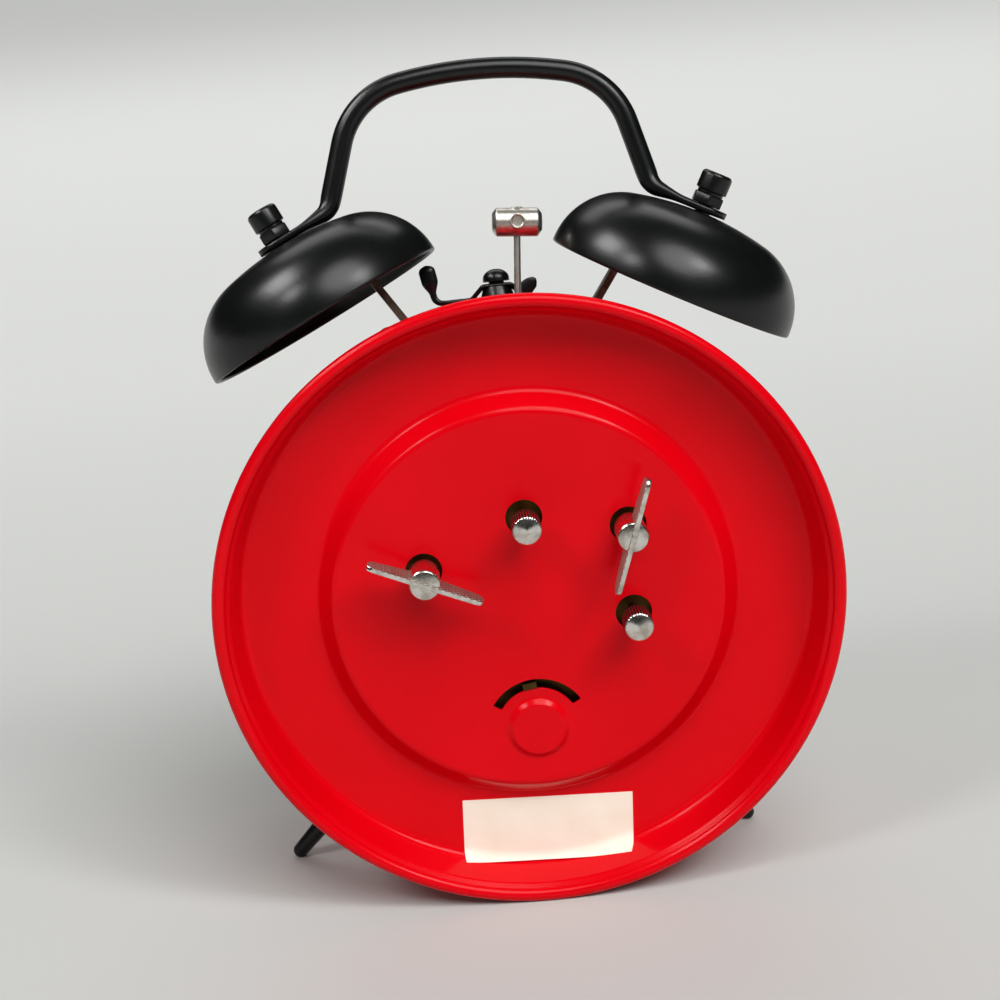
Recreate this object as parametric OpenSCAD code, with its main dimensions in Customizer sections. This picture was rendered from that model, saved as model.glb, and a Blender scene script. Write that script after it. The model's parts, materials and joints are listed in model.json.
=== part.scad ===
// Wind-up twin bell alarm clock: a red drum case on two legs, two bells with a carrying handle,
// and the movement inside. The table is z = 0, +Z is up and the dial faces -Y.

/* [Case] */
// Outer radius of the rolled rear rim
rim_r = 59; // [57:0.5:62]
// Radius of the bead rolled along the rear rim
bead_r = 1.3; // [1.1:0.1:1.6]
// Sheet thickness of the case
case_t = 0.8; // [0.6:0.1:1]
// Length of the case from its rear rim to its front edge
case_len = 42.4; // [42.2:0.1:43]
// Angle at which the case narrows toward the front
taper = 12; // [11.5:0.5:12.5]

/* [Back cover] */
// Sheet thickness of the back cover
cover_t = 0.6; // [0.4:0.1:0.8]
// Radius of the raised centre
plateau_r = 36.7; // [36.4:0.1:37]
// Radius where the step meets the sunken ring
step_r = 39.7; // [39.4:0.1:39.8]
// Depth of the raised centre below the rim
plateau_z = 5.6; // [5.4:0.1:5.8]
// Depth of the sunken ring below the rim
ring_z = 9; // [8.6:0.1:9.4]
// Depth at which the cover's edge ends below the rim
cover_edge_z = 1.6; // [1.4:0.1:2.4]
// Radius of the holes for keys and knobs
key_hole_r = 3.45; // [3.2:0.05:3.6]
// Radius of the round boss over the balance
boss_r = 5.4; // [5:0.1:6]
// Height of the boss above the raised centre
boss_rise = 0.9; // [0.7:0.1:1.2]
// Middle radius of the regulator slot
slot_r = 8.6; // [8.2:0.1:9]
// Width of the regulator slot
slot_w = 1.9; // [1.6:0.1:2.2]
// Half angle of the regulator slot
slot_half = 57; // [54:1:60]
// Setting of the regulator from the middle of its slot, toward slow
regulator_set = 8; // [0:1:12]

/* [Label] */
// Width of the paper label
label_w = 32; // [24:1:32]
// Space between the paper label and the bends above and below it
label_gap = 0.19; // [0.15:0.01:0.3]
// Thickness of the paper label
label_t = 0.15; // [0.1:0.05:0.3]

/* [Front] */
// Width of the bezel inside the case wall
bezel_w = 5.16; // [4.6:0.02:6.6]
// Thickness of the bezel lip
bezel_lip = 2.5; // [2:0.1:3]
// Width by which the bezel lip stands out past the case edge
bezel_over = 0.6; // [0.3:0.1:1]
// Length of the bezel plug inside the case
bezel_plug = 1.8; // [1.4:0.1:2]
// Thickness of the glass
glass_t = 1.5; // [1.2:0.1:1.6]
// Thickness of the dial plate
dial_t = 0.6; // [0.4:0.1:0.8]
// Depth of the dial plate below the rear rim
dial_z = 31.4; // [31.3:0.1:31.8]
// Wall of the ring between dial and glass
dial_ring_t = 0.8; // [0.6:0.1:1]

/* [Bells] */
// Outer radius of a bell
bell_r = 24.2; // [23.6:0.2:24.8]
// Height of a bell
bell_h = 15.6; // [15.2:0.2:16.4]
// Wall of a bell
bell_t = 0.9; // [0.7:0.1:1.1]
// Height of the straight side above the bell's mouth
bell_side = 0.6; // [0.3:0.1:1]
// Rounded shoulder of a bell, as a share of its height above the side
shoulder_share = 0.92; // [0.87:0.01:0.95]
// Sideways distance of a bell's mouth from the middle
bell_x = 32.7; // [32.3:0.1:33.3]
// How far a bell's mouth lies below the top of the rim
bell_drop = 5; // [4.4:0.1:5.4]
// Outward tilt of a bell
bell_tilt = 26.9; // [26.2:0.1:27.7]
// Turn of the left bell toward the rear, about the handle's end
left_bell_turn = 7.2; // [0:0.1:7.6]
// Turn of the right bell toward the rear, about the handle's end
right_bell_turn = 0; // [0:0.1:7.6]
// How far bells and handle stand off the middle, toward the right bell
top_shift = 0.9; // [0:0.1:1.2]

/* [Bell brackets] */
// Thickness of the bracket strip
strip_t = 1.4; // [1.2:0.1:2]
// Width of the bracket strip
strip_w = 6; // [5:0.2:7]
// Distance of the bracket leg from the bell's axis
leg_off = 11.2; // [10.8:0.1:11.6]
// Lean of the bracket leg against the bell's axis
leg_lean = 7.5; // [6:0.5:9]
// Radius of the stud through the bell
stud_r = 1.5; // [1.3:0.1:1.6]
// Room between the top of the bracket and the bell's inside
stud_collar_h = 1.9; // [1.6:0.1:2.4]
// Sideways distance of a bracket's foot from the middle
bracket_foot_x = 19.6; // [19.2:0.1:20]
// Length of the bracket foot round the case
bracket_foot_len = 11; // [10:0.5:12]
// Thickness of the bracket foot
bracket_foot_t = 1.8; // [1.6:0.1:2.2]
// Radius of the bracket rivets
rivet_r = 1.3; // [1:0.1:1.5]

/* [Nuts] */
// Width across the flats of the nuts
nut_flats = 5.5; // [5:0.1:6]
// Height of the nuts
nut_h = 2; // [1.8:0.1:2.4]
// Radius of the cap nuts
cap_r = 3; // [2.8:0.1:3.3]
// Height of the cap nuts
cap_h = 4.3; // [4:0.1:5]

/* [Handle] */
// Radius of the handle rod
grip_r = 2; // [1.7:0.1:2.3]
// Height of the handle above the bells' mouths
grip_rise = 45.5; // [43.5:0.2:47.5]
// Sideways distance of the handle's shoulders
grip_shoulder_x = 24.5; // [23.5:0.5:25.5]
// Drop of the shoulders below the crown
grip_shoulder_drop = 4.7; // [4:0.1:6]
// Bend radius at the shoulders
grip_shoulder_r = 14.7; // [13:0.1:16]
// Thickness of the handle's flattened ends
tab_t = 1.6; // [1.4:0.1:1.8]
// Width of the handle's flattened ends
tab_w = 6.4; // [6:0.2:7]

/* [Hammer] */
// Sideways place of the hammer's pivot
hammer_x = -0.8; // [-1:0.1:-0.6]
// Height of the hammer's pivot above the clock axis
hammer_y = 27; // [26.8:0.1:27.2]
// Tilt of the hammer at rest
hammer_rest = 4; // [3.5:0.5:4.5]
// Height of the hammer head above the bells' mouths
head_rise = 15; // [14.4:0.1:15.4]
// Radius of the hammer rod
hammer_rod_r = 0.65; // [0.5:0.05:0.75]
// Length of the hammer head
head_len = 9.5; // [9:0.1:9.8]
// Radius of the hammer head
head_r = 2.7; // [2.5:0.05:2.8]
// Swing of the hammer toward the near bell
swing_near = 3.6; // [3:0.1:3.6]
// Swing of the hammer toward the far bell
swing_far = 16; // [14:0.5:16]

/* [Stop lever] */
// Angle of the lever's screw from the top of the case
lever_angle = 0.9; // [0.6:0.1:1.2]
// Depth of the lever's screw below the rear rim
lever_z = 28.4; // [28.3:0.1:28.6]
// Radius of the lever's screw
lever_post_r = 1.5; // [1.3:0.1:1.6]
// Radius of the screw's domed head
lever_head_r = 2.55; // [2.4:0.05:2.7]
// Height of the lever's bridge above the case
cup_h = 4.1; // [3.9:0.1:4.4]
// Sheet thickness of the lever
lever_t = 0.9; // [0.7:0.1:1.1]
// Length of the lever's finger arm
lever_arm = 11.9; // [11.4:0.1:12.2]
// Length of the lever's blocking arm
lever_block = 7.4; // [7:0.1:7.6]
// Width of the lever's arms
lever_w = 2; // [1.8:0.1:2.2]
// Height of the lever's arm above the case
lever_arm_z = 1.8; // [1.7:0.1:2]
// Height of the lever's finger above its arm
finger_h = 7.3; // [6.6:0.1:7.4]

/* [Legs] */
// Radius of a leg at the case
leg_r = 2.2; // [2:0.1:2.5]
// Radius of a leg's rounded tip
leg_tip_r = 1.5; // [1.3:0.1:1.7]
// Angle of a leg from straight down
leg_angle = 38.5; // [37.5:0.5:39.5]
// How far both legs stand round toward the right
leg_turn = 2; // [0:0.5:2.5]
// Depth of a leg's root below the rear rim
leg_z = 27; // [26.8:0.1:27.2]
// Radius of the threaded stub of a leg
leg_stub_r = 1.25; // [1:0.05:1.4]
// Depth of the flat on which a leg's tip rests
leg_flat = 0.2; // [0.1:0.05:0.3]

/* [Keys and knobs] */
// Sideways place of the time winding arbor
time_key_x = 19.3; // [19.1:0.1:19.5]
// Height of the time winding arbor
time_key_y = 7.5; // [7.3:0.1:7.7]
// Sideways place of the alarm winding arbor
alarm_key_x = -19.3; // [-19.5:0.1:-19.1]
// Height of the alarm winding arbor
alarm_key_y = 13.2; // [13:0.1:13.4]
// Sideways place of the time setting arbor
time_knob_x = -19.4; // [-19.6:0.1:-19.2]
// Height of the time setting arbor
time_knob_y = -4; // [-4.2:0.1:-3.8]
// Height of the alarm setting arbor
alarm_knob_y = 16.2; // [16.1:0.1:16.4]
// Reach of the keys and knobs past the raised centre
key_reach = 9.8; // [9.4:0.1:10.4]
// Radius of a key's hub
key_hub_r = 2.9; // [2.7:0.05:3]
// Length of a key's hub
key_hub_len = 8.2; // [7.8:0.1:8.6]
// Span of a key's two wings
wing_span = 22.4; // [21:0.2:23]
// Depth of a key's wing at its hub
wing_root = 6.8; // [6.2:0.1:7.2]
// Radius of a wing's rounded end
wing_tip_r = 2.2; // [1.9:0.1:2.4]
// How far a wing's edge stands proud of its hub
wing_proud = 0.2; // [0.1:0.05:0.3]
// Thickness of a wing
wing_t = 1.2; // [1:0.1:1.4]
// Turn of the time key's wings
time_wing_turn = 23; // [0:1:180]
// Turn of the alarm key's wings
alarm_wing_turn = 108; // [0:1:180]
// Radius of a setting knob
knob_r = 2.75; // [2.6:0.05:2.9]
// Length of a setting knob
knob_len = 6.5; // [6:0.1:7]
// Radius of the winding arbors
winding_r = 1.5; // [1.3:0.05:1.6]
// Radius of the setting arbors
setting_r = 0.9; // [0.8:0.05:1]

/* [Movement] */
// Thickness of the movement plates
plate_t = 1; // [0.8:0.1:1.2]
// Depth of the back plate below the rear rim
back_plate_z = 8.4; // [8.3:0.1:8.6]
// Room between the plates
plate_room = 14; // [13.9:0.1:14.1]
// Radius of the back plate
back_plate_r = 36; // [35.8:0.1:36.2]
// Radius of the front plate
front_plate_r = 38; // [37.5:0.1:40]
// Radius of the pillars
pillar_r = 2; // [1.8:0.1:2.2]
// Radius of thin arbors
arbor_r = 0.7; // [0.6:0.05:0.75]
// Thickness of the wheels
wheel_t = 0.8; // [0.7:0.05:0.9]
// Height of the balance staff below the clock axis
balance_drop = 25.4; // [25.2:0.1:25.6]
// Radius of the balance rim
balance_r = 8.5; // [8:0.1:8.7]
// Outer radius of the wound mainsprings
spring_r = 13; // [12:0.2:13.2]
// Turns of the mainsprings
spring_turns = 6; // [4:1:8]
// Tooth size of the centre wheel
centre_mod = 0.38; // [0.37:0.005:0.385]
// Tooth size of the third wheel
third_mod = 0.32; // [0.31:0.005:0.325]
// Tooth size of the fourth wheel
fourth_mod = 0.28; // [0.275:0.005:0.285]
// Tooth size of the alarm main wheel
alarm_mod = 0.5; // [0.49:0.005:0.505]

/* [Clearances] */
// Radial room of a shaft that turns in a hole
run_gap = 0.05; // [0.03:0.01:0.08]
// Radial room between pieces that are pressed together
press_gap = 0.02; // [0.01:0.01:0.04]
// Room between sheet pieces that lie together
seam_gap = 0.05; // [0.03:0.01:0.1]
// Room between pieces that move past each other
free_gap = 0.35; // [0.3:0.05:0.5]

/* [Hidden] */
$fn = 48;

// Depths along the clock axis, counted from the rear rim toward the dial
inner_z = back_plate_z + plate_t;
front_plate_z = inner_z + plate_room;
motion_z = front_plate_z + plate_t;
cover_inner_z = plateau_z + cover_t;
key_tip_z = plateau_z - key_reach;
spring_z = inner_z + 1.5;
spring_h = 7;
ratchet_z = inner_z + 9.3;
main_z = inner_z + 10.6;
centre_z = inner_z + 12.4;
third_z = inner_z + 9.2;
fourth_z = inner_z + 6.6;
escape_z = inner_z + 4.4;
balance_z = inner_z + 2;
balance_t = 1.4;
hair_z = inner_z + 0.7;
hair_h = 0.7;
verge_z = inner_z + 12.3;
hammer_z = inner_z + 9;
minute_z = motion_z + 0.6;
hour_z = motion_z + 2.2;
alarm_wheel_z = hour_z + 1.8;
alarm_hand_z = dial_z + dial_t + 0.6;
hour_hand_z = alarm_hand_z + 1.5;
minute_hand_z = hour_hand_z + 1.5;
hand_t = 0.5;
pinion_h = 1.8;
glass_z = case_len - glass_t - seam_gap;

// Tooth counts
main_teeth = 60;
centre_leaves = 12;
centre_teeth = 64;
third_leaves = 8;
third_teeth = 60;
fourth_leaves = 8;
fourth_teeth = 64;
escape_leaves = 8;
escape_teeth = 15;
minute_teeth = 84;
cannon_leaves = 12;
hour_leaves = 28;
hour_teeth = 48;
alarm_teeth = 28;
alarm_main_teeth = 54;
alarm_leaves = 8;
alarm_escape_teeth = 13;
ratchet_teeth = 16;
knurl_teeth = 40;
bend_steps = 8;

// Where the arbors stand, as sideways place and height from the clock axis
centre = [0, 0];
time_key = [time_key_x, time_key_y];
alarm_key = [alarm_key_x, alarm_key_y];
time_knob = [time_knob_x, time_knob_y];
alarm_knob = [0, alarm_knob_y];
balance = [0, -balance_drop];
hammer = [hammer_x, hammer_y];
main_mod = 2 * norm(time_key) / (main_teeth + centre_leaves);
minute_mod = 2 * norm(time_knob) / (minute_teeth + cannon_leaves);
hour_mod = 2 * norm(time_knob) / (hour_leaves + hour_teeth);
alarm_wheel_mod = alarm_knob_y / alarm_teeth;
third_dir = -55.5;
fourth_dir = 188.6;
escape_dir = 197.7;
pallet_dir = -71;
alarm_escape_dir = 60;
third = centre + polar(centre_mod * (centre_teeth + third_leaves) / 2, third_dir);
fourth = third + polar(third_mod * (third_teeth + fourth_leaves) / 2, fourth_dir);
escape = fourth + polar(fourth_mod * (fourth_teeth + escape_leaves) / 2, escape_dir);
escape_r = 4.3;
pallet_pin_r = 0.3;
pallet = escape + polar(escape_r + 1.3, pallet_dir);
alarm_escape = alarm_key + polar(alarm_mod * (alarm_main_teeth + alarm_leaves) / 2, alarm_escape_dir);
alarm_escape_r = 4.2;
verge_r = 7.3;
pillars = [polar(32, -40), polar(32, -140), polar(32, 75), polar(32, 182)];
dial_posts = [polar(34, 20), polar(34, 100), polar(34, -60)];

// Tooth shape, as shares of the tooth size and of the pitch
addendum = 0.75;
dedendum = 1.15;
tooth_root = 0.28;
tooth_tip = 0.08;

// Sizes that follow from those above
nut_r = nut_flats / 2 / cos(30);
ratchet_r = 5.2;
hub_r = 2.3;
cover_bend = cover_t * tan(atan((ring_z - plateau_z) / (step_r - plateau_r)) / 2);
bell_y = rim_r - bell_drop;
label_top = step_r + label_gap;
label_h = sqrt(pow(cover_out(ring_z) - cover_t - label_gap, 2) - pow(label_w / 2, 2)) - label_top;
label_drop = label_top + label_h / 2;
grip_top = bell_y + grip_rise;
hammer_len = bell_y + head_rise - hammer_y;
bezel_open_r = wall_in(case_len) - bezel_w;
bracket_drop = 11;
bracket_z = hammer_z + (wall_out(hammer_z) - hammer_y) * tan(taper);
bracket_foot_angle = asin(bracket_foot_x / wall_out(bracket_z));
bell_shoulder = shoulder_share * (bell_h - bell_side);
bell_crown_r = let (a = bell_r - bell_shoulder, rise = bell_h - bell_side)
    (a * a + rise * rise - bell_shoulder * bell_shoulder) / (2 * (rise - bell_shoulder));
stud_top = bell_h + tab_t + nut_h + cap_h - 1.2;
strip_top = bell_h - bell_t - stud_collar_h;
bezel_z = case_len + bezel_lip;
bell_front = hammer_z + bell_r * cos(taper)
    + (bell_y - hammer_y + (bell_side + 1) * cos(bell_tilt)) * sin(taper)
    + bell_h * sin(max(left_bell_turn, right_bell_turn));
rim_y = (bell_front + key_tip_z) / 2;
dial_r = wall_in(case_len) - case_t - 1.3;

// Radii of the tapered case at a given depth
function wall_in(z) = rim_r - 2 * bead_r - (z - bead_r) * tan(taper);
function wall_out(z) = wall_in(z) + case_t;
function cover_out(z) = wall_in(z) - seam_gap;
function polar(r, a) = [r * cos(a), r * sin(a)];
function direction(from, to) = atan2(to.y - from.y, to.x - from.x);
function unit(v) = v / norm(v);
function leg_at(side) = leg_angle + side * leg_turn;
function leg_reach(side) = (rim_r - leg_tip_r + leg_flat - wall_out(leg_z) * cos(leg_at(side)))
    / cos(leg_at(side)) / cos(taper);
function bell_turn(side) = side < 0 ? left_bell_turn : right_bell_turn;
function bracket_place(side) = bracket_z + (bell_h + bracket_drop) * sin(bell_turn(side)) * cos(taper);
function bell_point(x, z) = [bell_x + x * cos(bell_tilt) + z * sin(bell_tilt),
                             bell_y - x * sin(bell_tilt) + z * cos(bell_tilt)];

// Clock frame: x sideways, y up from the clock axis, z from the rear rim toward the dial
module clock() {
    translate([0, rim_y, rim_r]) rotate([90, 0, 0]) children();
}

module at(place, z) {
    translate([place.x, place.y, z]) children();
}

// On the case's outside, z along its normal and y toward the rear; angle from the top
module on_case(angle, z) {
    clock() rotate([0, 0, -angle]) translate([0, wall_out(z), z]) rotate([taper - 90, 0, 0]) children();
}

// Leaning plane of bells, handle and hammer
module leaning() {
    clock() translate([0, hammer_y, hammer_z]) rotate([taper, 0, 0])
        translate([0, -hammer_y, 0]) children();
}

module on_side(side) {
    if (side < 0) mirror([1, 0, 0]) children();
    else children();
}

// Bell frame: z along the bell's axis from the middle of its mouth, x outward
module on_bell(side) {
    translate([top_shift, 0, 0]) on_side(side) leaning() translate([bell_x, bell_y, 0])
        rotate([0, 0, -bell_tilt]) rotate([-90, 0, 0])
        translate([0, 0, bell_h]) rotate([-bell_turn(side), 0, 0])
        translate([0, 0, -bell_h]) children();
}

module hex(h) {
    cylinder(r = nut_r, h = h, $fn = 6);
}

module gear(teeth, size, tooth_at, h) {
    pitch = 360 / teeth;
    root = size * (teeth / 2 - dedendum);
    tip = size * (teeth / 2 + addendum);
    linear_extrude(h) polygon([for (i = [0 : teeth - 1]) each [
        polar(root, tooth_at + pitch * (i - tooth_root)),
        polar(tip, tooth_at + pitch * (i - tooth_tip)),
        polar(tip, tooth_at + pitch * (i + tooth_tip)),
        polar(root, tooth_at + pitch * (i + tooth_root))
    ]]);
}

// Pinion with a gap toward the wheel that it meshes with
module pinion(teeth, size, gap_at, h) {
    gear(teeth, size, gap_at + 180 / teeth, h);
}

module saw_wheel(teeth, tip, depth, lean, h) {
    linear_extrude(h) polygon([for (i = [0 : teeth - 1]) each [
        polar(tip - depth, 360 * i / teeth),
        polar(tip, 360 * (i + lean) / teeth),
        polar(tip, 360 * (i + lean + 0.08) / teeth)
    ]]);
}

module spiral_strip(r_start, r_end, turns, thick, h, start) {
    steps = turns * 20;
    line = [for (i = [0 : steps])
        [r_start + (r_end - r_start) * i / steps, start + 360 * turns * i / steps]];
    linear_extrude(h) polygon(concat(
        [for (p = line) polar(p[0] + thick / 2, p[1])],
        [for (i = [steps : -1 : 0]) polar(line[i][0] - thick / 2, line[i][1])]
    ));
}

// Middle line of a rod bent in its x-y plane: an arc of the given radius at each inner corner
function bend(before, corner, after, r) = let (
    into = unit(corner - before),
    out = unit(after - corner),
    turn = atan2(cross(into, out), into * out),
    inward = unit(out - into),
    middle = corner + inward * r / cos(turn / 2),
    outward = atan2(-inward.y, -inward.x)
) [for (i = [0 : bend_steps]) middle + polar(r, outward + turn * (i / bend_steps - 0.5))];

function bent_line(points, radii) = [
    points[0],
    for (i = [1 : len(points) - 2]) each bend(points[i - 1], points[i], points[i + 1], radii[i]),
    points[len(points) - 1]
];

// Round rod along a flat line, as one closed skin
module rod_along(line, r, sides) {
    last = len(line) - 1;
    rings = [for (i = [0 : last]) let (way = unit(line[min(i + 1, last)] - line[max(i - 1, 0)]))
        for (k = [0 : sides - 1]) let (a = 360 * k / sides)
            [line[i].x - way.y * r * cos(a), line[i].y + way.x * r * cos(a), r * sin(a)]];
    skin = [for (i = [0 : last - 1], k = [0 : sides - 1]) let (
        here = i * sides + k,
        next = i * sides + (k + 1) % sides
    ) each [[here, here + sides, next + sides], [here, next + sides, next]]];
    ends = [[for (k = [0 : sides - 1]) k], [for (k = [sides - 1 : -1 : 0]) last * sides + k]];
    polyhedron(rings, concat(skin, ends));
}

// Case

module hammer_slot() {
    wall_y = wall_out(hammer_z + (rim_r - hammer_y) * tan(taper));
    reach = wall_y - hammer_y;
    depth = hammer_z + reach * tan(taper);
    near = hammer_x - reach * tan(hammer_rest + swing_near);
    far = hammer_x - reach * tan(hammer_rest - swing_far);
    room = hammer_rod_r + 1;
    clock() translate([near - room, wall_y - 4, depth - room])
        cube([far - near + 2 * room, 8, 2 * room]);
}

module case_shell() {
    color("red") difference() {
        clock() rotate_extrude($fn = 120) {
            polygon([[wall_in(bead_r), bead_r], [wall_out(bead_r), bead_r],
                     [wall_out(case_len), case_len], [wall_in(case_len), case_len]]);
            translate([rim_r - bead_r, bead_r]) circle(r = bead_r);
        }
        hammer_slot();
        on_case(lever_angle, lever_z) translate([0, 0, -4]) cylinder(r = lever_post_r + press_gap, h = 8);
        for (side = [-1, 1]) {
            on_case(side * (180 - leg_at(side)), leg_z) translate([0, 0, -4])
                cylinder(r = leg_stub_r + press_gap, h = 8);
            rivet_place(side) translate([0, 0, -4]) cylinder(r = rivet_r + press_gap, h = 8);
        }
    }
}

module back_cover() {
    color("red") clock() difference() {
        union() {
            rotate_extrude($fn = 120) polygon([
                [0, plateau_z], [plateau_r, plateau_z], [step_r, ring_z],
                [cover_out(ring_z) - cover_t, ring_z], [cover_out(cover_edge_z) - cover_t, cover_edge_z],
                [cover_out(cover_edge_z), cover_edge_z], [cover_out(ring_z + cover_t), ring_z + cover_t],
                [step_r - cover_bend, ring_z + cover_t], [plateau_r - cover_bend, cover_inner_z],
                [0, cover_inner_z]
            ]);
            at(balance, plateau_z - boss_rise)
                cylinder(r1 = boss_r - 0.4, r2 = boss_r, h = boss_rise + 0.1);
        }
        for (place = [time_key, alarm_key, time_knob, alarm_knob])
            at(place, plateau_z - 1) cylinder(r = key_hole_r, h = cover_t + 2);
        at(balance, plateau_z - boss_rise + cover_t) cylinder(r = boss_r - 1, h = boss_rise + 1);
        at(balance, plateau_z - 1) {
            rotate([0, 0, 90 - slot_half]) rotate_extrude(angle = 2 * slot_half)
                translate([slot_r - slot_w / 2, 0]) square([slot_w, cover_t + 2]);
            for (side = [-1, 1]) rotate([0, 0, 90 + side * slot_half]) translate([slot_r, 0, 0])
                cylinder(r = slot_w / 2, h = cover_t + 2);
        }
    }
}

module paper_label() {
    color("ivory") clock() translate([-label_w / 2, -label_drop - label_h / 2, ring_z - label_t])
        cube([label_w, label_h, label_t]);
}

module front_bezel() {
    plug_r = wall_in(case_len) - seam_gap;
    lip_r = wall_out(case_len) + bezel_over - bezel_lip / 2;
    color("red") clock() {
        rotate_extrude($fn = 120) {
            translate([bezel_open_r, case_len]) square([lip_r - bezel_open_r, bezel_lip]);
            translate([lip_r, case_len + bezel_lip / 2]) circle(r = bezel_lip / 2);
        }
        rotate_extrude($fn = 120) translate([plug_r - case_t, case_len - bezel_plug])
            square([case_t, bezel_plug + bezel_lip / 2]);
    }
}

module glass_lens() {
    color("lightcyan", 0.4) clock() translate([0, 0, glass_z])
        cylinder(r = wall_in(case_len) - case_t - 4 * seam_gap, h = glass_t, $fn = 120);
}

module dial_ring() {
    color("white") clock() rotate_extrude($fn = 120)
        translate([dial_r - dial_ring_t, dial_z + dial_t])
            square([dial_ring_t, glass_z - dial_z - dial_t]);
}

module dial_plate() {
    color("white") clock() difference() {
        translate([0, 0, dial_z]) cylinder(r = dial_r, h = dial_t, $fn = 120);
        translate([0, 0, dial_z - 1]) cylinder(r = 3, h = dial_t + 2);
        at(alarm_knob, dial_z - 1) cylinder(r = setting_r + 3 * run_gap, h = dial_t + 2);
    }
}

module dial_feet() {
    color("silver") clock() for (place = dial_posts)
        at(place, motion_z) cylinder(r = 1.2, h = dial_z - motion_z);
}

// Bells and handle

module bell_half(r, h, side, shoulder, crown) {
    intersection() {
        union() {
            square([r, side]);
            square([r - shoulder, h]);
            translate([r - shoulder, side]) circle(r = shoulder, $fn = 96);
        }
        translate([0, h - crown]) circle(r = crown, $fn = 240);
        square([r, h]);
    }
}

module bell(side) {
    color("black") on_bell(side) difference() {
        rotate_extrude($fn = 96) difference() {
            bell_half(bell_r, bell_h, bell_side, bell_shoulder, bell_crown_r);
            translate([0, -0.01]) bell_half(bell_r - bell_t, bell_h - bell_t + 0.01, bell_side + 0.01,
                                            bell_shoulder - bell_t, bell_crown_r - bell_t);
        }
        translate([0, 0, bell_h - 3]) cylinder(r = stud_r + press_gap, h = 4);
    }
}

module bell_left() { bell(-1); }

module bell_right() { bell(1); }

module rivet_place(side) {
    on_case(side * bracket_foot_angle, bracket_place(side)) translate([side * 2.4, 0, 0]) children();
}

// Strip bent up from its foot on the case, then across under the bell to its stud
module bell_bracket(side) {
    leg_top = strip_top - strip_t / 2;
    reach = leg_off - leg_top * tan(leg_lean) + strip_t / 2;
    color("dimgray") difference() {
        union() {
            on_bell(side) {
                translate([-leg_off, 0, 0]) rotate([0, leg_lean, 0])
                    translate([-strip_t / 2, -strip_w / 2, -bracket_drop])
                        cube([strip_t, strip_w, bracket_drop + leg_top / cos(leg_lean)]);
                translate([-reach, -strip_w / 2, strip_top - strip_t]) cube([reach, strip_w, strip_t]);
                translate([0, 0, strip_top - strip_t]) cylinder(r = strip_w / 2, h = strip_t);
                translate([0, 0, strip_top - 0.1]) cylinder(r = hub_r, h = stud_collar_h + 0.02);
                translate([0, 0, strip_top]) cylinder(r = stud_r, h = stud_top - strip_top);
            }
            on_case(side * bracket_foot_angle, bracket_place(side))
                translate([-bracket_foot_len / 2, -strip_w / 2, 0])
                cube([bracket_foot_len, strip_w, bracket_foot_t]);
        }
        rivet_place(side) translate([0, 0, -1]) cylinder(r = rivet_r + press_gap, h = 5);
        on_case(side * bracket_foot_angle, bracket_place(side))
            translate([-20, -20, -40]) cube([40, 40, 40 + seam_gap]);
    }
}

module bell_bracket_left() { bell_bracket(-1); }

module bell_bracket_right() { bell_bracket(1); }

module bracket_rivets() {
    color("silver") for (side = [-1, 1]) rivet_place(side) {
        translate([0, 0, -case_t - 1]) cylinder(r = rivet_r, h = case_t + 1 + bracket_foot_t + 0.2);
        translate([0, 0, bracket_foot_t + seam_gap / 2]) intersection() {
            cylinder(r = rivet_r + 0.9, h = 1.1);
            translate([0, 0, -1.9]) sphere(r = 3);
        }
    }
}

module bell_hex_nuts() {
    color("dimgray") for (side = [-1, 1]) on_bell(side) translate([0, 0, bell_h + tab_t]) difference() {
        hex(nut_h);
        translate([0, 0, -1]) cylinder(r = stud_r + press_gap, h = nut_h + 2);
    }
}

module bell_cap_nuts() {
    edge = 1.1;
    base = bell_h + tab_t + nut_h;
    color("black") for (side = [-1, 1]) on_bell(side) translate([0, 0, base]) difference() {
        rotate_extrude() {
            square([cap_r - 0.5, 0.5]);
            translate([0, 0.5]) square([cap_r, cap_h - edge - 0.5]);
            square([cap_r - edge, cap_h]);
            translate([cap_r - edge, cap_h - edge]) circle(r = edge);
        }
        translate([0, 0, -1]) cylinder(r = stud_r + press_gap, h = cap_h);
    }
}

module carrying_handle() {
    tab_in = 6.5;
    tab_bend = 10.9;
    bend_drop = 1.05;
    tab_end = 1.3;
    rise = bell_h + grip_r + 3 * seam_gap;
    half = [bell_point(-tab_in, rise), bell_point(-tab_bend, rise - bend_drop),
            [grip_shoulder_x, grip_top - grip_shoulder_drop], [0, grip_top]];
    points = concat(half, [for (i = [2 : -1 : 0]) [-half[i].x, half[i].y]]);
    radii = [0, 3, grip_shoulder_r, 80, grip_shoulder_r, 3, 0];
    color("black") {
        leaning() translate([top_shift, 0, 0]) rod_along(bent_line(points, radii), grip_r, 20);
        for (side = [-1, 1]) on_bell(side) translate([0, 0, bell_h + seam_gap]) difference() {
            union() {
                translate([-tab_in - 2.5, -tab_w / 2, 0])
                    cube([tab_in + 2.5 + tab_end, tab_w, tab_t - seam_gap]);
                translate([tab_end, 0, 0]) cylinder(r = tab_w / 2, h = tab_t - seam_gap);
            }
            translate([0, 0, -1]) cylinder(r = stud_r + press_gap, h = tab_t + 2);
        }
    }
}

// Legs

module leg(side) {
    color("black") difference() {
        on_case(side * (180 - leg_at(side)), leg_z) {
            translate([0, 0, -case_t - nut_h - 0.8]) cylinder(r = leg_stub_r, h = case_t + nut_h + 1);
            translate([0, 0, seam_gap]) cylinder(r1 = leg_r, r2 = leg_tip_r, h = leg_reach(side) - seam_gap);
            translate([0, 0, leg_reach(side)]) sphere(r = leg_tip_r);
        }
        translate([-100, -100, -20]) cube([200, 200, 20]);
    }
}

module leg_left() { leg(-1); }

module leg_right() { leg(1); }

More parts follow.
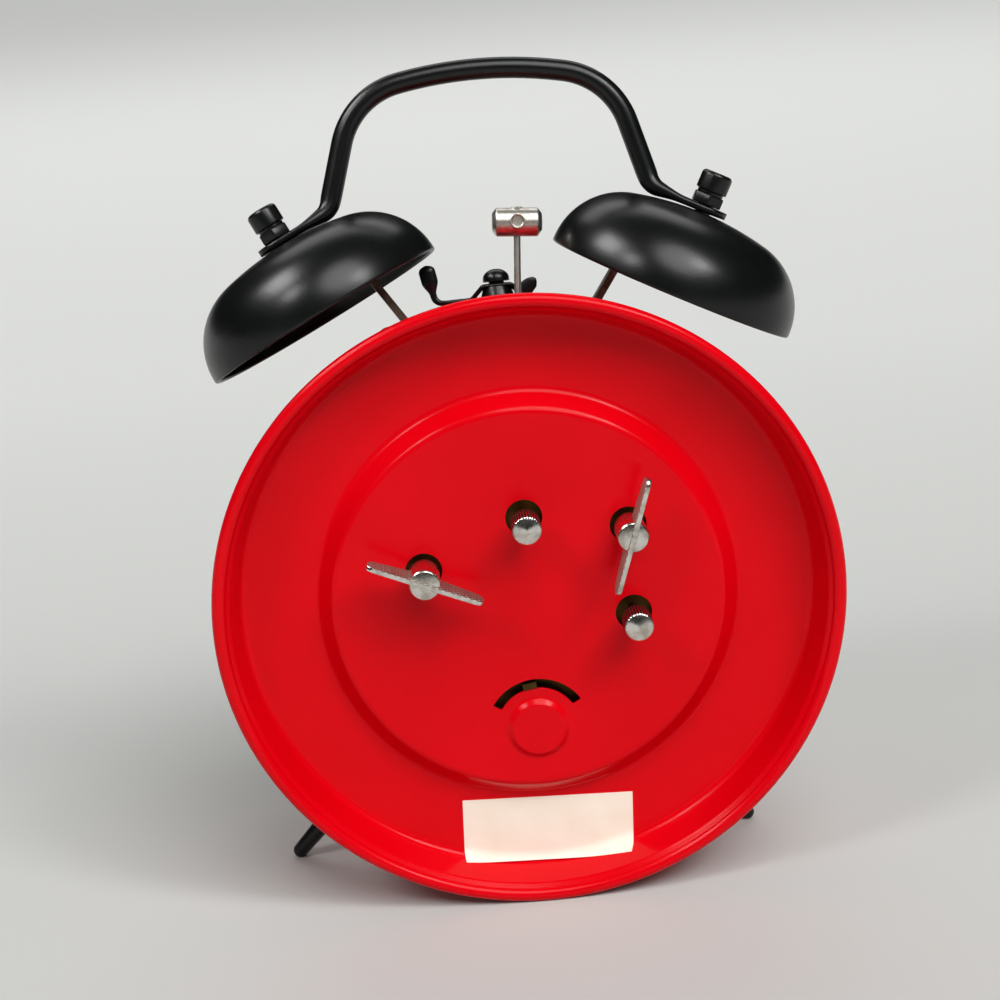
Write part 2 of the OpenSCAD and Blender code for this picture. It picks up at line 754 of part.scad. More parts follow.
module leg_nuts() {
    color("silver") for (side = [-1, 1]) on_case(side * (180 - leg_at(side)), leg_z)
        translate([0, 0, -case_t - nut_h - 0.15]) difference() {
            hex(nut_h);
            translate([0, 0, -1]) cylinder(r = leg_stub_r + press_gap, h = nut_h + 2);
        }
}

// Stop lever

module stop_lever() {
    top = cup_h + lever_t;
    bridge_w = 4.6;
    bridge_top = 2.7;
    bridge_foot = 5;
    neck_r = 0.65;
    bulb_r = 1.2;
    bulb_len = 2.2;
    flare = 1.6;
    finger_lean = 10;
    neck = finger_h - bulb_r - bulb_len - flare;
    color("black") on_case(lever_angle, lever_z) difference() {
        union() {
            translate([0, 0, free_gap]) cylinder(r = bridge_w / 2, h = top - free_gap);
            translate([0, bridge_w / 2, 0]) rotate([90, 0, 0]) linear_extrude(bridge_w) polygon([
                [-bridge_foot, lever_arm_z], [-bridge_foot, lever_arm_z + lever_t], [-bridge_top, top],
                [bridge_top, top], [bridge_foot, lever_arm_z + lever_t], [bridge_foot, lever_arm_z],
                [bridge_foot - lever_t, lever_arm_z], [bridge_top - lever_t / 2, cup_h],
                [lever_t / 2 - bridge_top, cup_h], [lever_t - bridge_foot, lever_arm_z]
            ]);
            translate([bridge_foot - lever_t, -lever_w / 2, lever_arm_z])
                cube([lever_arm - bridge_foot + lever_t, lever_w, lever_t]);
            translate([lever_arm, 0, lever_arm_z]) cylinder(r = lever_w / 2, h = lever_t);
            translate([lever_arm, 0, lever_arm_z + lever_t / 2]) rotate([0, finger_lean, 0]) {
                cylinder(r = neck_r, h = neck + 0.1);
                translate([0, 0, neck]) cylinder(r1 = neck_r, r2 = bulb_r, h = flare);
                translate([0, 0, neck + flare]) cylinder(r = bulb_r, h = bulb_len);
                translate([0, 0, neck + flare + bulb_len]) sphere(r = bulb_r);
            }
            translate([0, lever_t / 2, 0]) rotate([90, 0, 0]) linear_extrude(lever_t) polygon([
                [lever_t - bridge_foot, lever_arm_z], [1 - lever_block, lever_arm_z],
                [-lever_block, top + 0.4], [0.4 - lever_block, top + 0.9], [-bridge_top, cup_h]
            ]);
        }
        translate([0, 0, -1]) cylinder(r = lever_post_r + run_gap, h = cup_h + 4);
    }
}

module stop_lever_screw() {
    dome = 2.4;
    head_z = cup_h + lever_t + free_gap;
    color("dimgray") on_case(lever_angle, lever_z) {
        translate([0, 0, -case_t - 1.2]) cylinder(r = lever_post_r, h = case_t + 1.3 + head_z);
        translate([0, 0, head_z]) intersection() {
            cylinder(r = lever_head_r, h = dome);
            translate([0, 0, dome - 3.4]) sphere(r = 3.4);
        }
    }
}

// Hammer

module on_hammer() {
    clock() at(hammer, hammer_z) rotate([taper, 0, 0]) rotate([0, 0, hammer_rest]) children();
}

module hammer_head() {
    chamfer = 0.7;
    color("silver") on_hammer() translate([0, hammer_len, 0]) difference() {
        union() {
            rotate([0, 90, 0]) cylinder(r = head_r, h = head_len - 2 * chamfer, center = true);
            for (end = [-1, 1]) translate([end * (head_len / 2 - chamfer), 0, 0]) rotate([0, end * 90, 0])
                cylinder(r1 = head_r, r2 = head_r - chamfer, h = chamfer);
            translate([0, 0, -head_r - 0.5]) cylinder(r = 1.25, h = head_r);
        }
        rotate([90, 0, 0]) translate([0, 0, -1.6]) cylinder(r = hammer_rod_r + press_gap, h = 6);
    }
}

module hammer_rod() {
    color("silver") on_hammer() rotate([-90, 0, 0]) translate([0, 0, hub_r - 0.6])
        cylinder(r = hammer_rod_r, h = hammer_len + 1.5 - hub_r + 0.6);
}

// Arbor with the rod's hub and the two pallets that the alarm escape wheel throws from side to side
module hammer_arbor() {
    toward = direction(hammer, alarm_escape);
    pad_r = 0.6;
    spread = 48;
    color("goldenrod") clock() difference() {
        union() {
            at(hammer, back_plate_z) cylinder(r = arbor_r, h = motion_z - back_plate_z);
            at(hammer, hammer_z - 1.5) cylinder(r = hub_r, h = 3);
            at(hammer, verge_z) cylinder(r = 1.6, h = 1);
            for (side = [-1, 1]) {
                pad = alarm_escape + polar(verge_r, toward + 180 + side * spread);
                at(hammer, verge_z) rotate([0, 0, direction(hammer, pad)]) translate([0, -0.5, 0])
                    cube([norm(pad - hammer), 1, 1]);
                at(pad, verge_z) cylinder(r = pad_r, h = 1);
            }
        }
        at(hammer, hammer_z) rotate([taper, 0, 0]) rotate([0, 0, hammer_rest]) rotate([-90, 0, 0])
            translate([0, 0, hub_r - 0.65]) cylinder(r = hammer_rod_r + press_gap, h = 5);
    }
}

// Movement plates

module back_plate() {
    color("gold") clock() difference() {
        translate([0, 0, back_plate_z]) cylinder(r = back_plate_r, h = plate_t, $fn = 96);
        plate_holes(back_plate_z);
        at(balance, back_plate_z - 1) rotate([0, 0, 220]) rotate_extrude(angle = 100)
            translate([4.3, 0]) square([1.2, plate_t + 2]);
    }
}

module front_plate() {
    color("gold") clock() difference() {
        translate([0, 0, front_plate_z]) cylinder(r = front_plate_r, h = plate_t, $fn = 96);
        plate_holes(front_plate_z);
    }
}

module plate_holes(z) {
    for (place = [time_key, alarm_key])
        at(place, z - 1) cylinder(r = winding_r + run_gap, h = plate_t + 2);
    for (place = [time_knob, alarm_knob])
        at(place, z - 1) cylinder(r = setting_r + run_gap, h = plate_t + 2);
    for (place = [centre, third, fourth, escape, pallet, hammer, alarm_escape])
        at(place, z - 1) cylinder(r = arbor_r + run_gap, h = plate_t + 2);
    at(balance, z - 1) cylinder(r = 1.6 + press_gap, h = plate_t + 2);
    for (place = pillars)
        at(place, z - 1) cylinder(r = pillar_r / 2 + press_gap, h = plate_t + 2);
}

module plate_pillars() {
    color("goldenrod") clock() for (place = pillars) {
        at(place, inner_z) cylinder(r = pillar_r, h = plate_room);
        at(place, back_plate_z - 1.4) cylinder(r = pillar_r / 2, h = plate_room + 2 * plate_t + 1.4);
    }
}

module pillar_nuts() {
    color("silver") clock() for (place = pillars) at(place, back_plate_z - 1.6) difference() {
        cylinder(r = pillar_r + 0.3, h = 1.6, $fn = 6);
        translate([0, 0, -1]) cylinder(r = pillar_r / 2 + press_gap, h = 4);
    }
}

// Posts in the back plate that hold the outer ends of the springs
module spring_posts() {
    post_r = 1;
    color("silver") clock() {
        for (place = [time_key, alarm_key]) at(place, inner_z)
            translate([spring_r + free_gap + post_r, 0, 0]) cylinder(r = post_r, h = spring_h + 1.5);
        at(balance, inner_z) translate([-6.6, 0, 0]) cylinder(r = 0.5, h = 1.6);
    }
}

// Winding

module winding_key(place, turn) {
    tip_x = wing_span / 2 - wing_tip_r;
    color("silver") clock() at(place, key_tip_z) difference() {
        union() {
            cylinder(r1 = key_hub_r - 0.5, r2 = key_hub_r, h = 0.5);
            translate([0, 0, 0.5]) cylinder(r = key_hub_r, h = key_hub_len - 0.5);
            for (side = [0, 180]) rotate([90, 0, turn + side]) translate([0, -wing_proud, -wing_t / 2])
                linear_extrude(wing_t) {
                    polygon([[0, 0], [tip_x, 0], [tip_x, 2 * wing_tip_r], [0, wing_root]]);
                    translate([tip_x, wing_tip_r]) circle(r = wing_tip_r);
                }
        }
        translate([0, 0, 2.5]) cylinder(r = winding_r + press_gap, h = key_hub_len);
    }
}

module time_winding_key() { winding_key(time_key, time_wing_turn); }

module alarm_winding_key() { winding_key(alarm_key, alarm_wing_turn); }

module winding_arbor(place) {
    color("goldenrod") clock() {
        at(place, key_tip_z + 2.6) cylinder(r = winding_r, h = motion_z - key_tip_z - 2.6);
        at(place, inner_z + 0.3) cylinder(r = hub_r, h = ratchet_z - inner_z);
        at(place, ratchet_z) saw_wheel(ratchet_teeth, ratchet_r, 0.8, 0.8, wheel_t);
    }
}

module time_winding_arbor() { winding_arbor(time_key); }

module alarm_winding_arbor() { winding_arbor(alarm_key); }

module mainspring(place) {
    thick = 0.35;
    color("slategray") clock() at(place, spring_z)
        spiral_strip(hub_r + thick / 2 + press_gap, spring_r, spring_turns, thick, spring_h, 0);
}

module time_mainspring() { mainspring(time_key); }

module alarm_mainspring() { mainspring(alarm_key); }

module main_wheel(place, teeth, size, toward) {
    color("gold") clock() at(place, main_z) difference() {
        gear(teeth, size, toward, wheel_t);
        translate([0, 0, -1]) cylinder(r = winding_r + run_gap, h = wheel_t + 2);
    }
}

module time_main_wheel() {
    main_wheel(time_key, main_teeth, main_mod, direction(time_key, centre));
}

module alarm_main_wheel() {
    main_wheel(alarm_key, alarm_main_teeth, alarm_mod, alarm_escape_dir);
}

// Pawl on the rear face of a main wheel, resting just clear of the ratchet's tooth tips
module click(place, turn) {
    nose = ratchet_r + free_gap;
    color("silver") clock() at(place, ratchet_z) rotate([0, 0, turn]) {
        translate([nose + 1.2, -3, 0]) cylinder(r = 1.2, h = main_z - ratchet_z);
        translate([nose + 0.1, -3, 0]) cube([1.2, 4, wheel_t]);
    }
}

module time_click() { click(time_key, 250); }

module alarm_click() { click(alarm_key, 250); }

// Going train

module centre_wheel() {
    color("gold") clock() {
        at(centre, back_plate_z) cylinder(r = arbor_r, h = minute_hand_z + hand_t - back_plate_z);
        at(centre, inner_z + 0.3) cylinder(r = 1.1, h = main_z - inner_z - 0.4);
        at(centre, main_z - 0.5) pinion(centre_leaves, main_mod, direction(centre, time_key), pinion_h);
        at(centre, centre_z) gear(centre_teeth, centre_mod, third_dir, wheel_t);
    }
}

module third_wheel() {
    color("gold") clock() {
        at(third, back_plate_z) cylinder(r = arbor_r, h = motion_z - back_plate_z);
        at(third, centre_z - 0.6) pinion(third_leaves, centre_mod, third_dir + 180, pinion_h);
        at(third, third_z) gear(third_teeth, third_mod, fourth_dir, wheel_t);
    }
}

module fourth_wheel() {
    color("gold") clock() {
        at(fourth, back_plate_z) cylinder(r = arbor_r, h = motion_z - back_plate_z);
        at(fourth, third_z - 0.5) pinion(fourth_leaves, third_mod, fourth_dir + 180, pinion_h);
        at(fourth, fourth_z) gear(fourth_teeth, fourth_mod, escape_dir, wheel_t);
    }
}

module escape_wheel() {
    color("gold") clock() {
        at(escape, back_plate_z) cylinder(r = arbor_r, h = motion_z - back_plate_z);
        at(escape, fourth_z - 0.5) pinion(escape_leaves, fourth_mod, escape_dir + 180, pinion_h);
        at(escape, escape_z) saw_wheel(escape_teeth, escape_r, 1.3, 0.6, wheel_t);
    }
}

// Lever with two pins beside the escape wheel and a fork beside the balance roller
module pallet_lever() {
    toward = direction(pallet, balance);
    fork = norm(balance - pallet) - 2.9;
    pin_at = escape_r + free_gap + pallet_pin_r;
    lever_z = escape_z + wheel_t + free_gap;
    color("silver") clock() {
        at(pallet, back_plate_z) cylinder(r = arbor_r, h = motion_z - back_plate_z);
        at(pallet, lever_z) cylinder(r = 1.3, h = wheel_t);
        at(pallet, lever_z) rotate([0, 0, toward]) {
            translate([0, -0.5, 0]) cube([fork, 1, wheel_t]);
            translate([fork - 0.7, -1.1, 0]) cube([0.6, 2.2, wheel_t]);
            for (side = [-1, 1]) translate([fork - 0.6, -0.3 + side * 0.8, 0]) cube([1.5, 0.6, wheel_t]);
        }
        for (side = [-1, 1]) {
            pin = escape + polar(pin_at, pallet_dir + side * 45);
            at(pin, escape_z) cylinder(r = pallet_pin_r, h = 2 * wheel_t + free_gap);
            at(pallet, lever_z) rotate([0, 0, direction(pallet, pin)]) translate([0, -0.4, 0])
                cube([norm(pin - pallet), 0.8, wheel_t]);
        }
    }
}

module balance_wheel() {
    rim = 1.3;
    roller_z = escape_z + wheel_t + free_gap;
    color("gold") clock() at(balance, 0) {
        translate([0, 0, back_plate_z + 0.4]) cylinder(r = 0.4, h = motion_z - back_plate_z - 0.8);
        translate([0, 0, inner_z + 0.8]) cylinder(r = arbor_r, h = plate_room - 1.6);
        translate([0, 0, balance_z]) difference() {
            cylinder(r = balance_r, h = balance_t);
            translate([0, 0, -1]) cylinder(r = balance_r - rim, h = balance_t + 2);
        }
        translate([0, 0, balance_z]) for (turn = [0, 90]) rotate([0, 0, turn])
            translate([-balance_r + 0.5, -0.6, 0]) cube([2 * balance_r - 1, 1.2, balance_t - 0.5]);
        translate([0, 0, roller_z - 0.2]) cylinder(r = 1.3, h = wheel_t);
        rotate([0, 0, direction(balance, pallet)]) translate([1.3, 0, roller_z - 0.2])
            cylinder(r = 0.35, h = wheel_t);
    }
}

module hairspring() {
    color("steelblue") clock() at(balance, hair_z)
        spiral_strip(arbor_r + 0.15, 5.8, 5, 0.16, hair_h, 180);
}

// Screws in both plates whose blind holes carry the balance staff
module balance_screws() {
    color("silver") clock() at(balance, 0) {
        difference() {
            translate([0, 0, back_plate_z - 1.5]) cylinder(r = 1.6, h = plate_t + 1.7);
            translate([0, 0, back_plate_z + 0.3]) cylinder(r = 0.4 + run_gap, h = 3);
        }
        difference() {
            translate([0, 0, front_plate_z - 0.2]) cylinder(r = 1.6, h = plate_t + 0.6);
            translate([0, 0, front_plate_z - 2.3]) cylinder(r = 0.4 + run_gap, h = plate_t + 2);
        }
    }
}

// Lever on the rear balance screw; its tip shows in the slot and its pin reaches the hairspring
module regulator_lever() {
    plate_z = back_plate_z - 1.1;
    lever = 0.7;
    tip_w = 2.6;
    tip_h = slot_w - 2 * free_gap;
    color("gold") clock() at(balance, plate_z) rotate([0, 0, -regulator_set]) difference() {
        union() {
            cylinder(r = 2.8, h = lever);
            translate([-tip_w / 2, 0, 0]) cube([tip_w, slot_r + tip_h / 2, lever]);
            translate([-tip_w / 2, slot_r - tip_h / 2, plateau_z - 0.2 - plate_z])
                cube([tip_w, tip_h, plate_z - plateau_z + 0.4]);
            translate([-0.6, -5.3, 0]) cube([1.2, 4, lever]);
            translate([0, -4.9, 0]) cylinder(r = 0.3, h = hair_z - plate_z - free_gap);
        }
        translate([0, 0, -1]) cylinder(r = 1.6 + run_gap, h = 3);
    }
}

// Time setting and hands

module setting_knob(place) {
    color("silver") clock() at(place, key_tip_z) difference() {
        union() {
            cylinder(r1 = knob_r - 0.4, r2 = knob_r, h = 0.4);
            translate([0, 0, 0.4]) linear_extrude(knob_len - 0.4) polygon([
                for (i = [0 : 2 * knurl_teeth - 1]) polar(knob_r - (i % 2) * 0.15, 180 * i / knurl_teeth)
            ]);
        }
        translate([0, 0, 2]) cylinder(r = setting_r + press_gap, h = knob_len);
    }
}

module time_setting_knob() { setting_knob(time_knob); }

module alarm_setting_knob() { setting_knob(alarm_knob); }

module time_setting_arbor() {
    color("goldenrod") clock() at(time_knob, key_tip_z + 2.1)
        cylinder(r = setting_r, h = hour_z + pinion_h - key_tip_z - 2.1);
}

module minute_wheel() {
    toward = direction(time_knob, centre);
    color("gold") clock() at(time_knob, minute_z) difference() {
        union() {
            gear(minute_teeth, minute_mod, toward, wheel_t);
            cylinder(r = 2, h = hour_z - minute_z);
            translate([0, 0, hour_z - minute_z - 0.3]) gear(hour_leaves, hour_mod, toward, 1.4);
        }
        translate([0, 0, -1]) cylinder(r = setting_r + press_gap, h = 6);
    }
}

module cannon_pinion() {
    color("gold") clock() at(centre, 0) difference() {
        union() {
            translate([0, 0, minute_z - 0.3])
                pinion(cannon_leaves, minute_mod, direction(centre, time_knob), 1.4);
            translate([0, 0, minute_z]) cylinder(r = 1.4, h = minute_hand_z + hand_t - minute_z);
        }
        translate([0, 0, motion_z - 1]) cylinder(r = arbor_r + run_gap, h = minute_hand_z - motion_z + 3);
    }
}

module hour_wheel() {
    color("gold") clock() at(centre, 0) difference() {
        union() {
            translate([0, 0, hour_z]) pinion(hour_teeth, hour_mod, direction(centre, time_knob), wheel_t);
            translate([0, 0, alarm_wheel_z]) gear(alarm_teeth, alarm_wheel_mod, 90, wheel_t);
            translate([0, 0, hour_z]) cylinder(r = 2.1, h = hour_hand_z + hand_t - hour_z);
        }
        translate([0, 0, hour_z - 1]) cylinder(r = 1.4 + run_gap, h = hour_hand_z - hour_z + 3);
    }
}

// Hand pointing up, with a round boss, a slim stem and a leaf-shaped end
module hand(place, z, boss, bore, reach, leaf_w) {
    color("black") clock() at(place, z) difference() {
        union() {
            cylinder(r = boss, h = hand_t);
            linear_extrude(hand_t) polygon([
                [-1.1, -reach * 0.18], [1.1, -reach * 0.18], [0.6, 0], [0.6, reach * 0.55],
                [leaf_w / 2, reach * 0.7], [0.2, reach], [-0.2, reach], [-leaf_w / 2, reach * 0.7],
                [-0.6, reach * 0.55], [-0.6, 0]
            ]);
        }
        translate([0, 0, -1]) cylinder(r = bore, h = hand_t + 2);
    }
}

module minute_hand() { hand(centre, minute_hand_z, 2.4, 1.4 + press_gap, bezel_open_r - 4.5, 3.2); }

module hour_hand() { hand(centre, hour_hand_z, 3.2, 2.1 + press_gap, bezel_open_r - 16.5, 4.6); }

// Alarm setting

module alarm_setting_arbor() {
    color("goldenrod") clock() at(alarm_knob, key_tip_z + 2.1)
        cylinder(r = setting_r, h = alarm_hand_z + hand_t - key_tip_z - 2.1);
}

module alarm_wheel() {
    color("gold") clock() at(alarm_knob, alarm_wheel_z) difference() {
        union() {
            pinion(alarm_teeth, alarm_wheel_mod, -90, wheel_t);
            translate([0, 0, -0.6]) cylinder(r = 2.4, h = wheel_t + 0.9);
        }
        translate([0, 0, -2]) cylinder(r = setting_r + run_gap, h = wheel_t + 4);
    }
}

module alarm_hand() { hand(alarm_knob, alarm_hand_z, 1.7, setting_r + press_gap, 8.5, 1.6); }

module alarm_escape_wheel() {
    color("gold") clock() {
        at(alarm_escape, back_plate_z) cylinder(r = arbor_r, h = motion_z - back_plate_z);
        at(alarm_escape, main_z - 0.4) pinion(alarm_leaves, alarm_mod, alarm_escape_dir + 180, 1.5);
        at(alarm_escape, verge_z) saw_wheel(alarm_escape_teeth, alarm_escape_r, 1.6, 0.5, 1);
    }
}

case_shell();
back_cover();
paper_label();
front_bezel();
glass_lens();
dial_ring();
dial_plate();
dial_feet();
bell_left();
bell_right();
bell_bracket_left();
bell_bracket_right();
bracket_rivets();
bell_hex_nuts();
bell_cap_nuts();
carrying_handle();
leg_left();
leg_right();
leg_nuts();
stop_lever();
stop_lever_screw();
hammer_head();
hammer_rod();
hammer_arbor();
back_plate();
front_plate();
plate_pillars();
pillar_nuts();
spring_posts();
time_winding_key();
time_winding_arbor();
time_mainspring();
time_main_wheel();
time_click();
centre_wheel();
third_wheel();
fourth_wheel();
escape_wheel();
pallet_lever();
balance_wheel();
hairspring();
balance_screws();
regulator_lever();
time_setting_knob();
time_setting_arbor();
minute_wheel();
cannon_pinion();
hour_wheel();
minute_hand();
hour_hand();
alarm_setting_knob();
alarm_setting_arbor();
alarm_wheel();
alarm_hand();
alarm_winding_key();
alarm_winding_arbor();
alarm_mainspring();
alarm_main_wheel();
alarm_click();
alarm_escape_wheel();
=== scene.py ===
import bpy
import bmesh
import json
import math
from mathutils import Matrix, Vector


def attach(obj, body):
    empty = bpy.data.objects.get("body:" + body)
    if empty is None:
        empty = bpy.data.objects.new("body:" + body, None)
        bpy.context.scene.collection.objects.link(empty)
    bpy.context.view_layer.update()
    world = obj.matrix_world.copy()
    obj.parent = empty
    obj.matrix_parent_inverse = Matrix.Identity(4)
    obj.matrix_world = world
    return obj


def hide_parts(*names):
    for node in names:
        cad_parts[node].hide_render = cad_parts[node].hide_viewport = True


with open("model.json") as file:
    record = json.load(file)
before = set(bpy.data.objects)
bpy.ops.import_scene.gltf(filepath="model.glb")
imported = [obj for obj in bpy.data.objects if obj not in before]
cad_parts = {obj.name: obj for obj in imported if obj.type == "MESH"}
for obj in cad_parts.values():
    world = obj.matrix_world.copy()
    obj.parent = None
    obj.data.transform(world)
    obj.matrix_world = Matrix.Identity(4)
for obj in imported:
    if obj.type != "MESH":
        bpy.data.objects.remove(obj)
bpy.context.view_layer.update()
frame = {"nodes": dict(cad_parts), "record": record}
print("frame loaded:", len(frame["nodes"]), "solids")

# Places and sizes in millimetres, as the solids have them
clock = {"rimR": 59.0, "beadR": 1.3, "wall": 0.8, "length": 42.4, "taper": 12.0, "rimY": 22.8683,
         "plateauZ": 5.6, "ringZ": 9.0, "keyTipZ": -4.2, "leanY": 27.0, "leanZ": 18.4,
         "timeKey": (19.3, 7.5), "alarmKey": (-19.3, 13.2), "timeKnob": (-19.4, -4.0),
         "alarmKnob": (0.0, 16.2), "balance": (0.0, -25.4), "dialZ": 32.0}
millimetre = 0.001


def shift(x, y, z):
    return Matrix.Translation((x, y, z))


def turn(axis, degrees):
    return Matrix.Rotation(math.radians(degrees), 4, axis)


def wallIn(z):
    slope = math.tan(math.radians(clock["taper"]))
    return clock["rimR"] - 2 * clock["beadR"] - (z - clock["beadR"]) * slope


def wallOut(z):
    return wallIn(z) + clock["wall"]


# Frames of the clock: depth runs from the rear rim toward the dial
onClock = shift(0, clock["rimY"], clock["rimR"]) @ turn("X", 90)
onLean = (onClock @ shift(0, clock["leanY"], clock["leanZ"]) @ turn("X", clock["taper"])
          @ shift(0, -clock["leanY"], 0))


def onCase(angle, depth):
    return onClock @ turn("Z", -angle) @ shift(0, wallOut(depth), depth) @ turn("X", clock["taper"] - 90)


def at(place, depth):
    return onClock @ shift(place[0], place[1], depth)


# Modelling helpers


def alone():
    if bpy.context.object and bpy.context.object.mode != "OBJECT":
        bpy.ops.object.mode_set(mode="OBJECT")
    bpy.ops.object.select_all(action="DESELECT")


def pick(piece):
    alone()
    piece.select_set(True)
    bpy.context.view_layer.objects.active = piece


def filleted(points, steps=6):
    # rounds each corner that carries a radius as its third value
    line = []
    for i, point in enumerate(points):
        radius = point[2] if len(point) > 2 else 0
        corner = Vector(point[:2])
        if not radius or i in (0, len(points) - 1):
            line.append(corner)
            continue
        back = (Vector(points[i - 1][:2]) - corner).normalized()
        ahead = (Vector(points[i + 1][:2]) - corner).normalized()
        half = back.angle(ahead) / 2
        middle = corner + (back + ahead).normalized() * radius / math.sin(half)
        first = corner + back * radius / math.tan(half) - middle
        last = corner + ahead * radius / math.tan(half) - middle
        sweep = math.atan2(first.x * last.y - first.y * last.x, first.dot(last))
        for k in range(steps + 1):
            a = sweep * k / steps
            line.append(middle + Vector((first.x * math.cos(a) - first.y * math.sin(a),
                                         first.x * math.sin(a) + first.y * math.cos(a))))
    return line


def arc(x, z, r, start, end, steps):
    return [(x + r * math.cos(math.radians(start + (end - start) * i / steps)),
             z + r * math.sin(math.radians(start + (end - start) * i / steps))) for i in range(steps + 1)]


def subdivided(line, step):
    # more points along a line, about one step apart
    dense = [line[0]]
    for a, b in zip(line, line[1:]):
        count = max(1, round((b - a).length / step))
        dense += [a.lerp(b, k / count) for k in range(1, count + 1)]
    return dense


def eased(value, start, end):
    # 0 to 1 from start to end, level at both
    share = min(max((value - start) / (end - start), 0), 1)
    return share * share * (3 - 2 * share)


def section(sides, power):
    # points round a unit section: a circle at power 1, squarer below it
    points = []
    for k in range(sides):
        a = 2 * math.pi * k / sides
        points.append((math.copysign(abs(math.cos(a)) ** power, math.cos(a)),
                       math.copysign(abs(math.sin(a)) ** power, math.sin(a))))
    return points


def lathe(name, profile, steps):
    # a plane merged to a point, extruded along the profile, then spun about Z
    alone()
    bpy.ops.mesh.primitive_plane_add(size=1)
    piece = bpy.context.object
    piece.name = name
    bpy.ops.object.mode_set(mode="EDIT")
    bpy.ops.mesh.select_all(action="SELECT")
    bpy.ops.mesh.merge(type="CENTER")
    bpy.ops.transform.translate(value=(profile[0][0], 0, profile[0][1]))
    for before, after in zip(profile, profile[1:]):
        bpy.ops.mesh.extrude_vertices_move(
            TRANSFORM_OT_translate={"value": (after[0] - before[0], 0, after[1] - before[1])})
    bpy.ops.mesh.select_all(action="SELECT")
    bpy.ops.mesh.spin(steps=steps, angle=2 * math.pi, center=(0, 0, 0), axis=(0, 0, 1))
    bpy.ops.mesh.select_all(action="SELECT")
    bpy.ops.mesh.remove_doubles(threshold=0.0005)
    bpy.ops.mesh.normals_make_consistent(inside=False)
    bpy.ops.object.mode_set(mode="OBJECT")
    return piece


def loft(name, rings):
    # a circle pulled to the first ring, then its edges extruded from ring to ring
    alone()
    bpy.ops.mesh.primitive_circle_add(vertices=len(rings[0]), radius=1)
    piece = bpy.context.object
    piece.name = name
    bpy.ops.object.mode_set(mode="EDIT")
    bpy.ops.mesh.select_all(action="SELECT")
    mesh = bmesh.from_edit_mesh(piece.data)
    mesh.verts.ensure_lookup_table()
    here = {}
    for i, vertex in enumerate(mesh.verts):
        vertex.co = rings[0][i]
        here[vertex] = i
    bpy.ops.mesh.edge_face_add()
    bpy.ops.mesh.select_mode(type="VERT")
    for ring in rings[1:]:
        mesh = bmesh.from_edit_mesh(piece.data)
        order = {v.index: i for v, i in here.items()}
        bpy.ops.mesh.extrude_edges_move()
        mesh = bmesh.from_edit_mesh(piece.data)
        mesh.verts.ensure_lookup_table()
        here = {}
        for vertex in [v for v in mesh.verts if v.select]:
            root = next(e.other_vert(vertex) for e in vertex.link_edges if not e.other_vert(vertex).select)
            here[vertex] = order[root.index]
        for vertex, i in here.items():
            vertex.co = ring[i]
        bmesh.update_edit_mesh(piece.data)
    bpy.ops.mesh.edge_face_add()
    bpy.ops.mesh.select_all(action="SELECT")
    bpy.ops.mesh.remove_doubles(threshold=0.0005)
    bpy.ops.mesh.normals_make_consistent(inside=False)
    bpy.ops.object.mode_set(mode="OBJECT")
    return piece


def cut(piece, cutter):
    pick(piece)
    hole = piece.modifiers.new("hole", "BOOLEAN")
    hole.operation = "DIFFERENCE"
    hole.solver = "EXACT"
    hole.object = cutter
    bpy.ops.object.modifier_apply(modifier="hole")
    bpy.data.objects.remove(cutter)


def soften(piece, width, segments=3, angle=40):
    pick(piece)
    edge = piece.modifiers.new("edge", "BEVEL")
    edge.width = width
    edge.segments = segments
    edge.limit_method = "ANGLE"
    edge.angle_limit = math.radians(angle)
    bpy.ops.object.modifier_apply(modifier="edge")


def weld(piece, reach):
    # closes the slivers that cutting and softening leave
    pick(piece)
    bpy.ops.object.mode_set(mode="EDIT")
    bpy.ops.mesh.select_all(action="SELECT")
    bpy.ops.mesh.remove_doubles(threshold=reach)
    bpy.ops.mesh.dissolve_degenerate(threshold=reach)
    bpy.ops.mesh.normals_make_consistent(inside=False)
    bpy.ops.object.mode_set(mode="OBJECT")


def settle(piece):
    pick(piece)
    bpy.ops.object.transform_apply(location=True, rotation=True, scale=True)


def place(piece, matrix):
    piece.matrix_world = Matrix.Scale(millimetre, 4) @ matrix
    settle(piece)


def join(first, *others):
    pick(first)
    for piece in others:
        piece.select_set(True)
    bpy.ops.object.join()
    return first


def done(piece, material, body, slot, *nodes, angle=35, flats=False):
    pick(piece)
    bpy.ops.object.shade_smooth_by_angle(angle=math.radians(angle))
    if flats:
        # wide flats keep their own normals next to softened edges
        level = piece.modifiers.new("level", "WEIGHTED_NORMAL")
        level.keep_sharp = True
        bpy.ops.object.modifier_apply(modifier="level")
    if material:
        piece.data.materials.clear()
        piece.data.materials.append(material)
    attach(piece, body)
    if nodes:
        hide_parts(*nodes)
    return piece


# Materials


def colour(code):
    parts = [int(code[i:i + 2], 16) / 255 for i in (1, 3, 5)]
    return [c / 12.92 if c <= 0.04045 else ((c + 0.055) / 1.055) ** 2.4 for c in parts] + [1.0]


def newMaterial(name):
    material = bpy.data.materials.new(name)
    material.use_nodes = True
    material.node_tree.nodes.remove(material.node_tree.nodes["Principled BSDF"])
    return material


def node(material, kind, settings=None, sockets=None, links=None):
    # settings are the node's own, sockets hold constants, links come from other nodes' outputs
    made = material.node_tree.nodes.new(kind)
    for key, value in (settings or {}).items():
        setattr(made, key, value)
    for key, value in (sockets or {}).items():
        made.inputs[key].default_value = value
    for key, output in (links or {}).items():
        material.node_tree.links.new(output, made.inputs[key])
    return made


def stops(ramp, *marks):
    elements = ramp.color_ramp.elements
    while len(elements) < len(marks):
        elements.new(0.5)
    for element, (position, code) in zip(elements, marks):
        element.position = position
        element.color = colour(code)


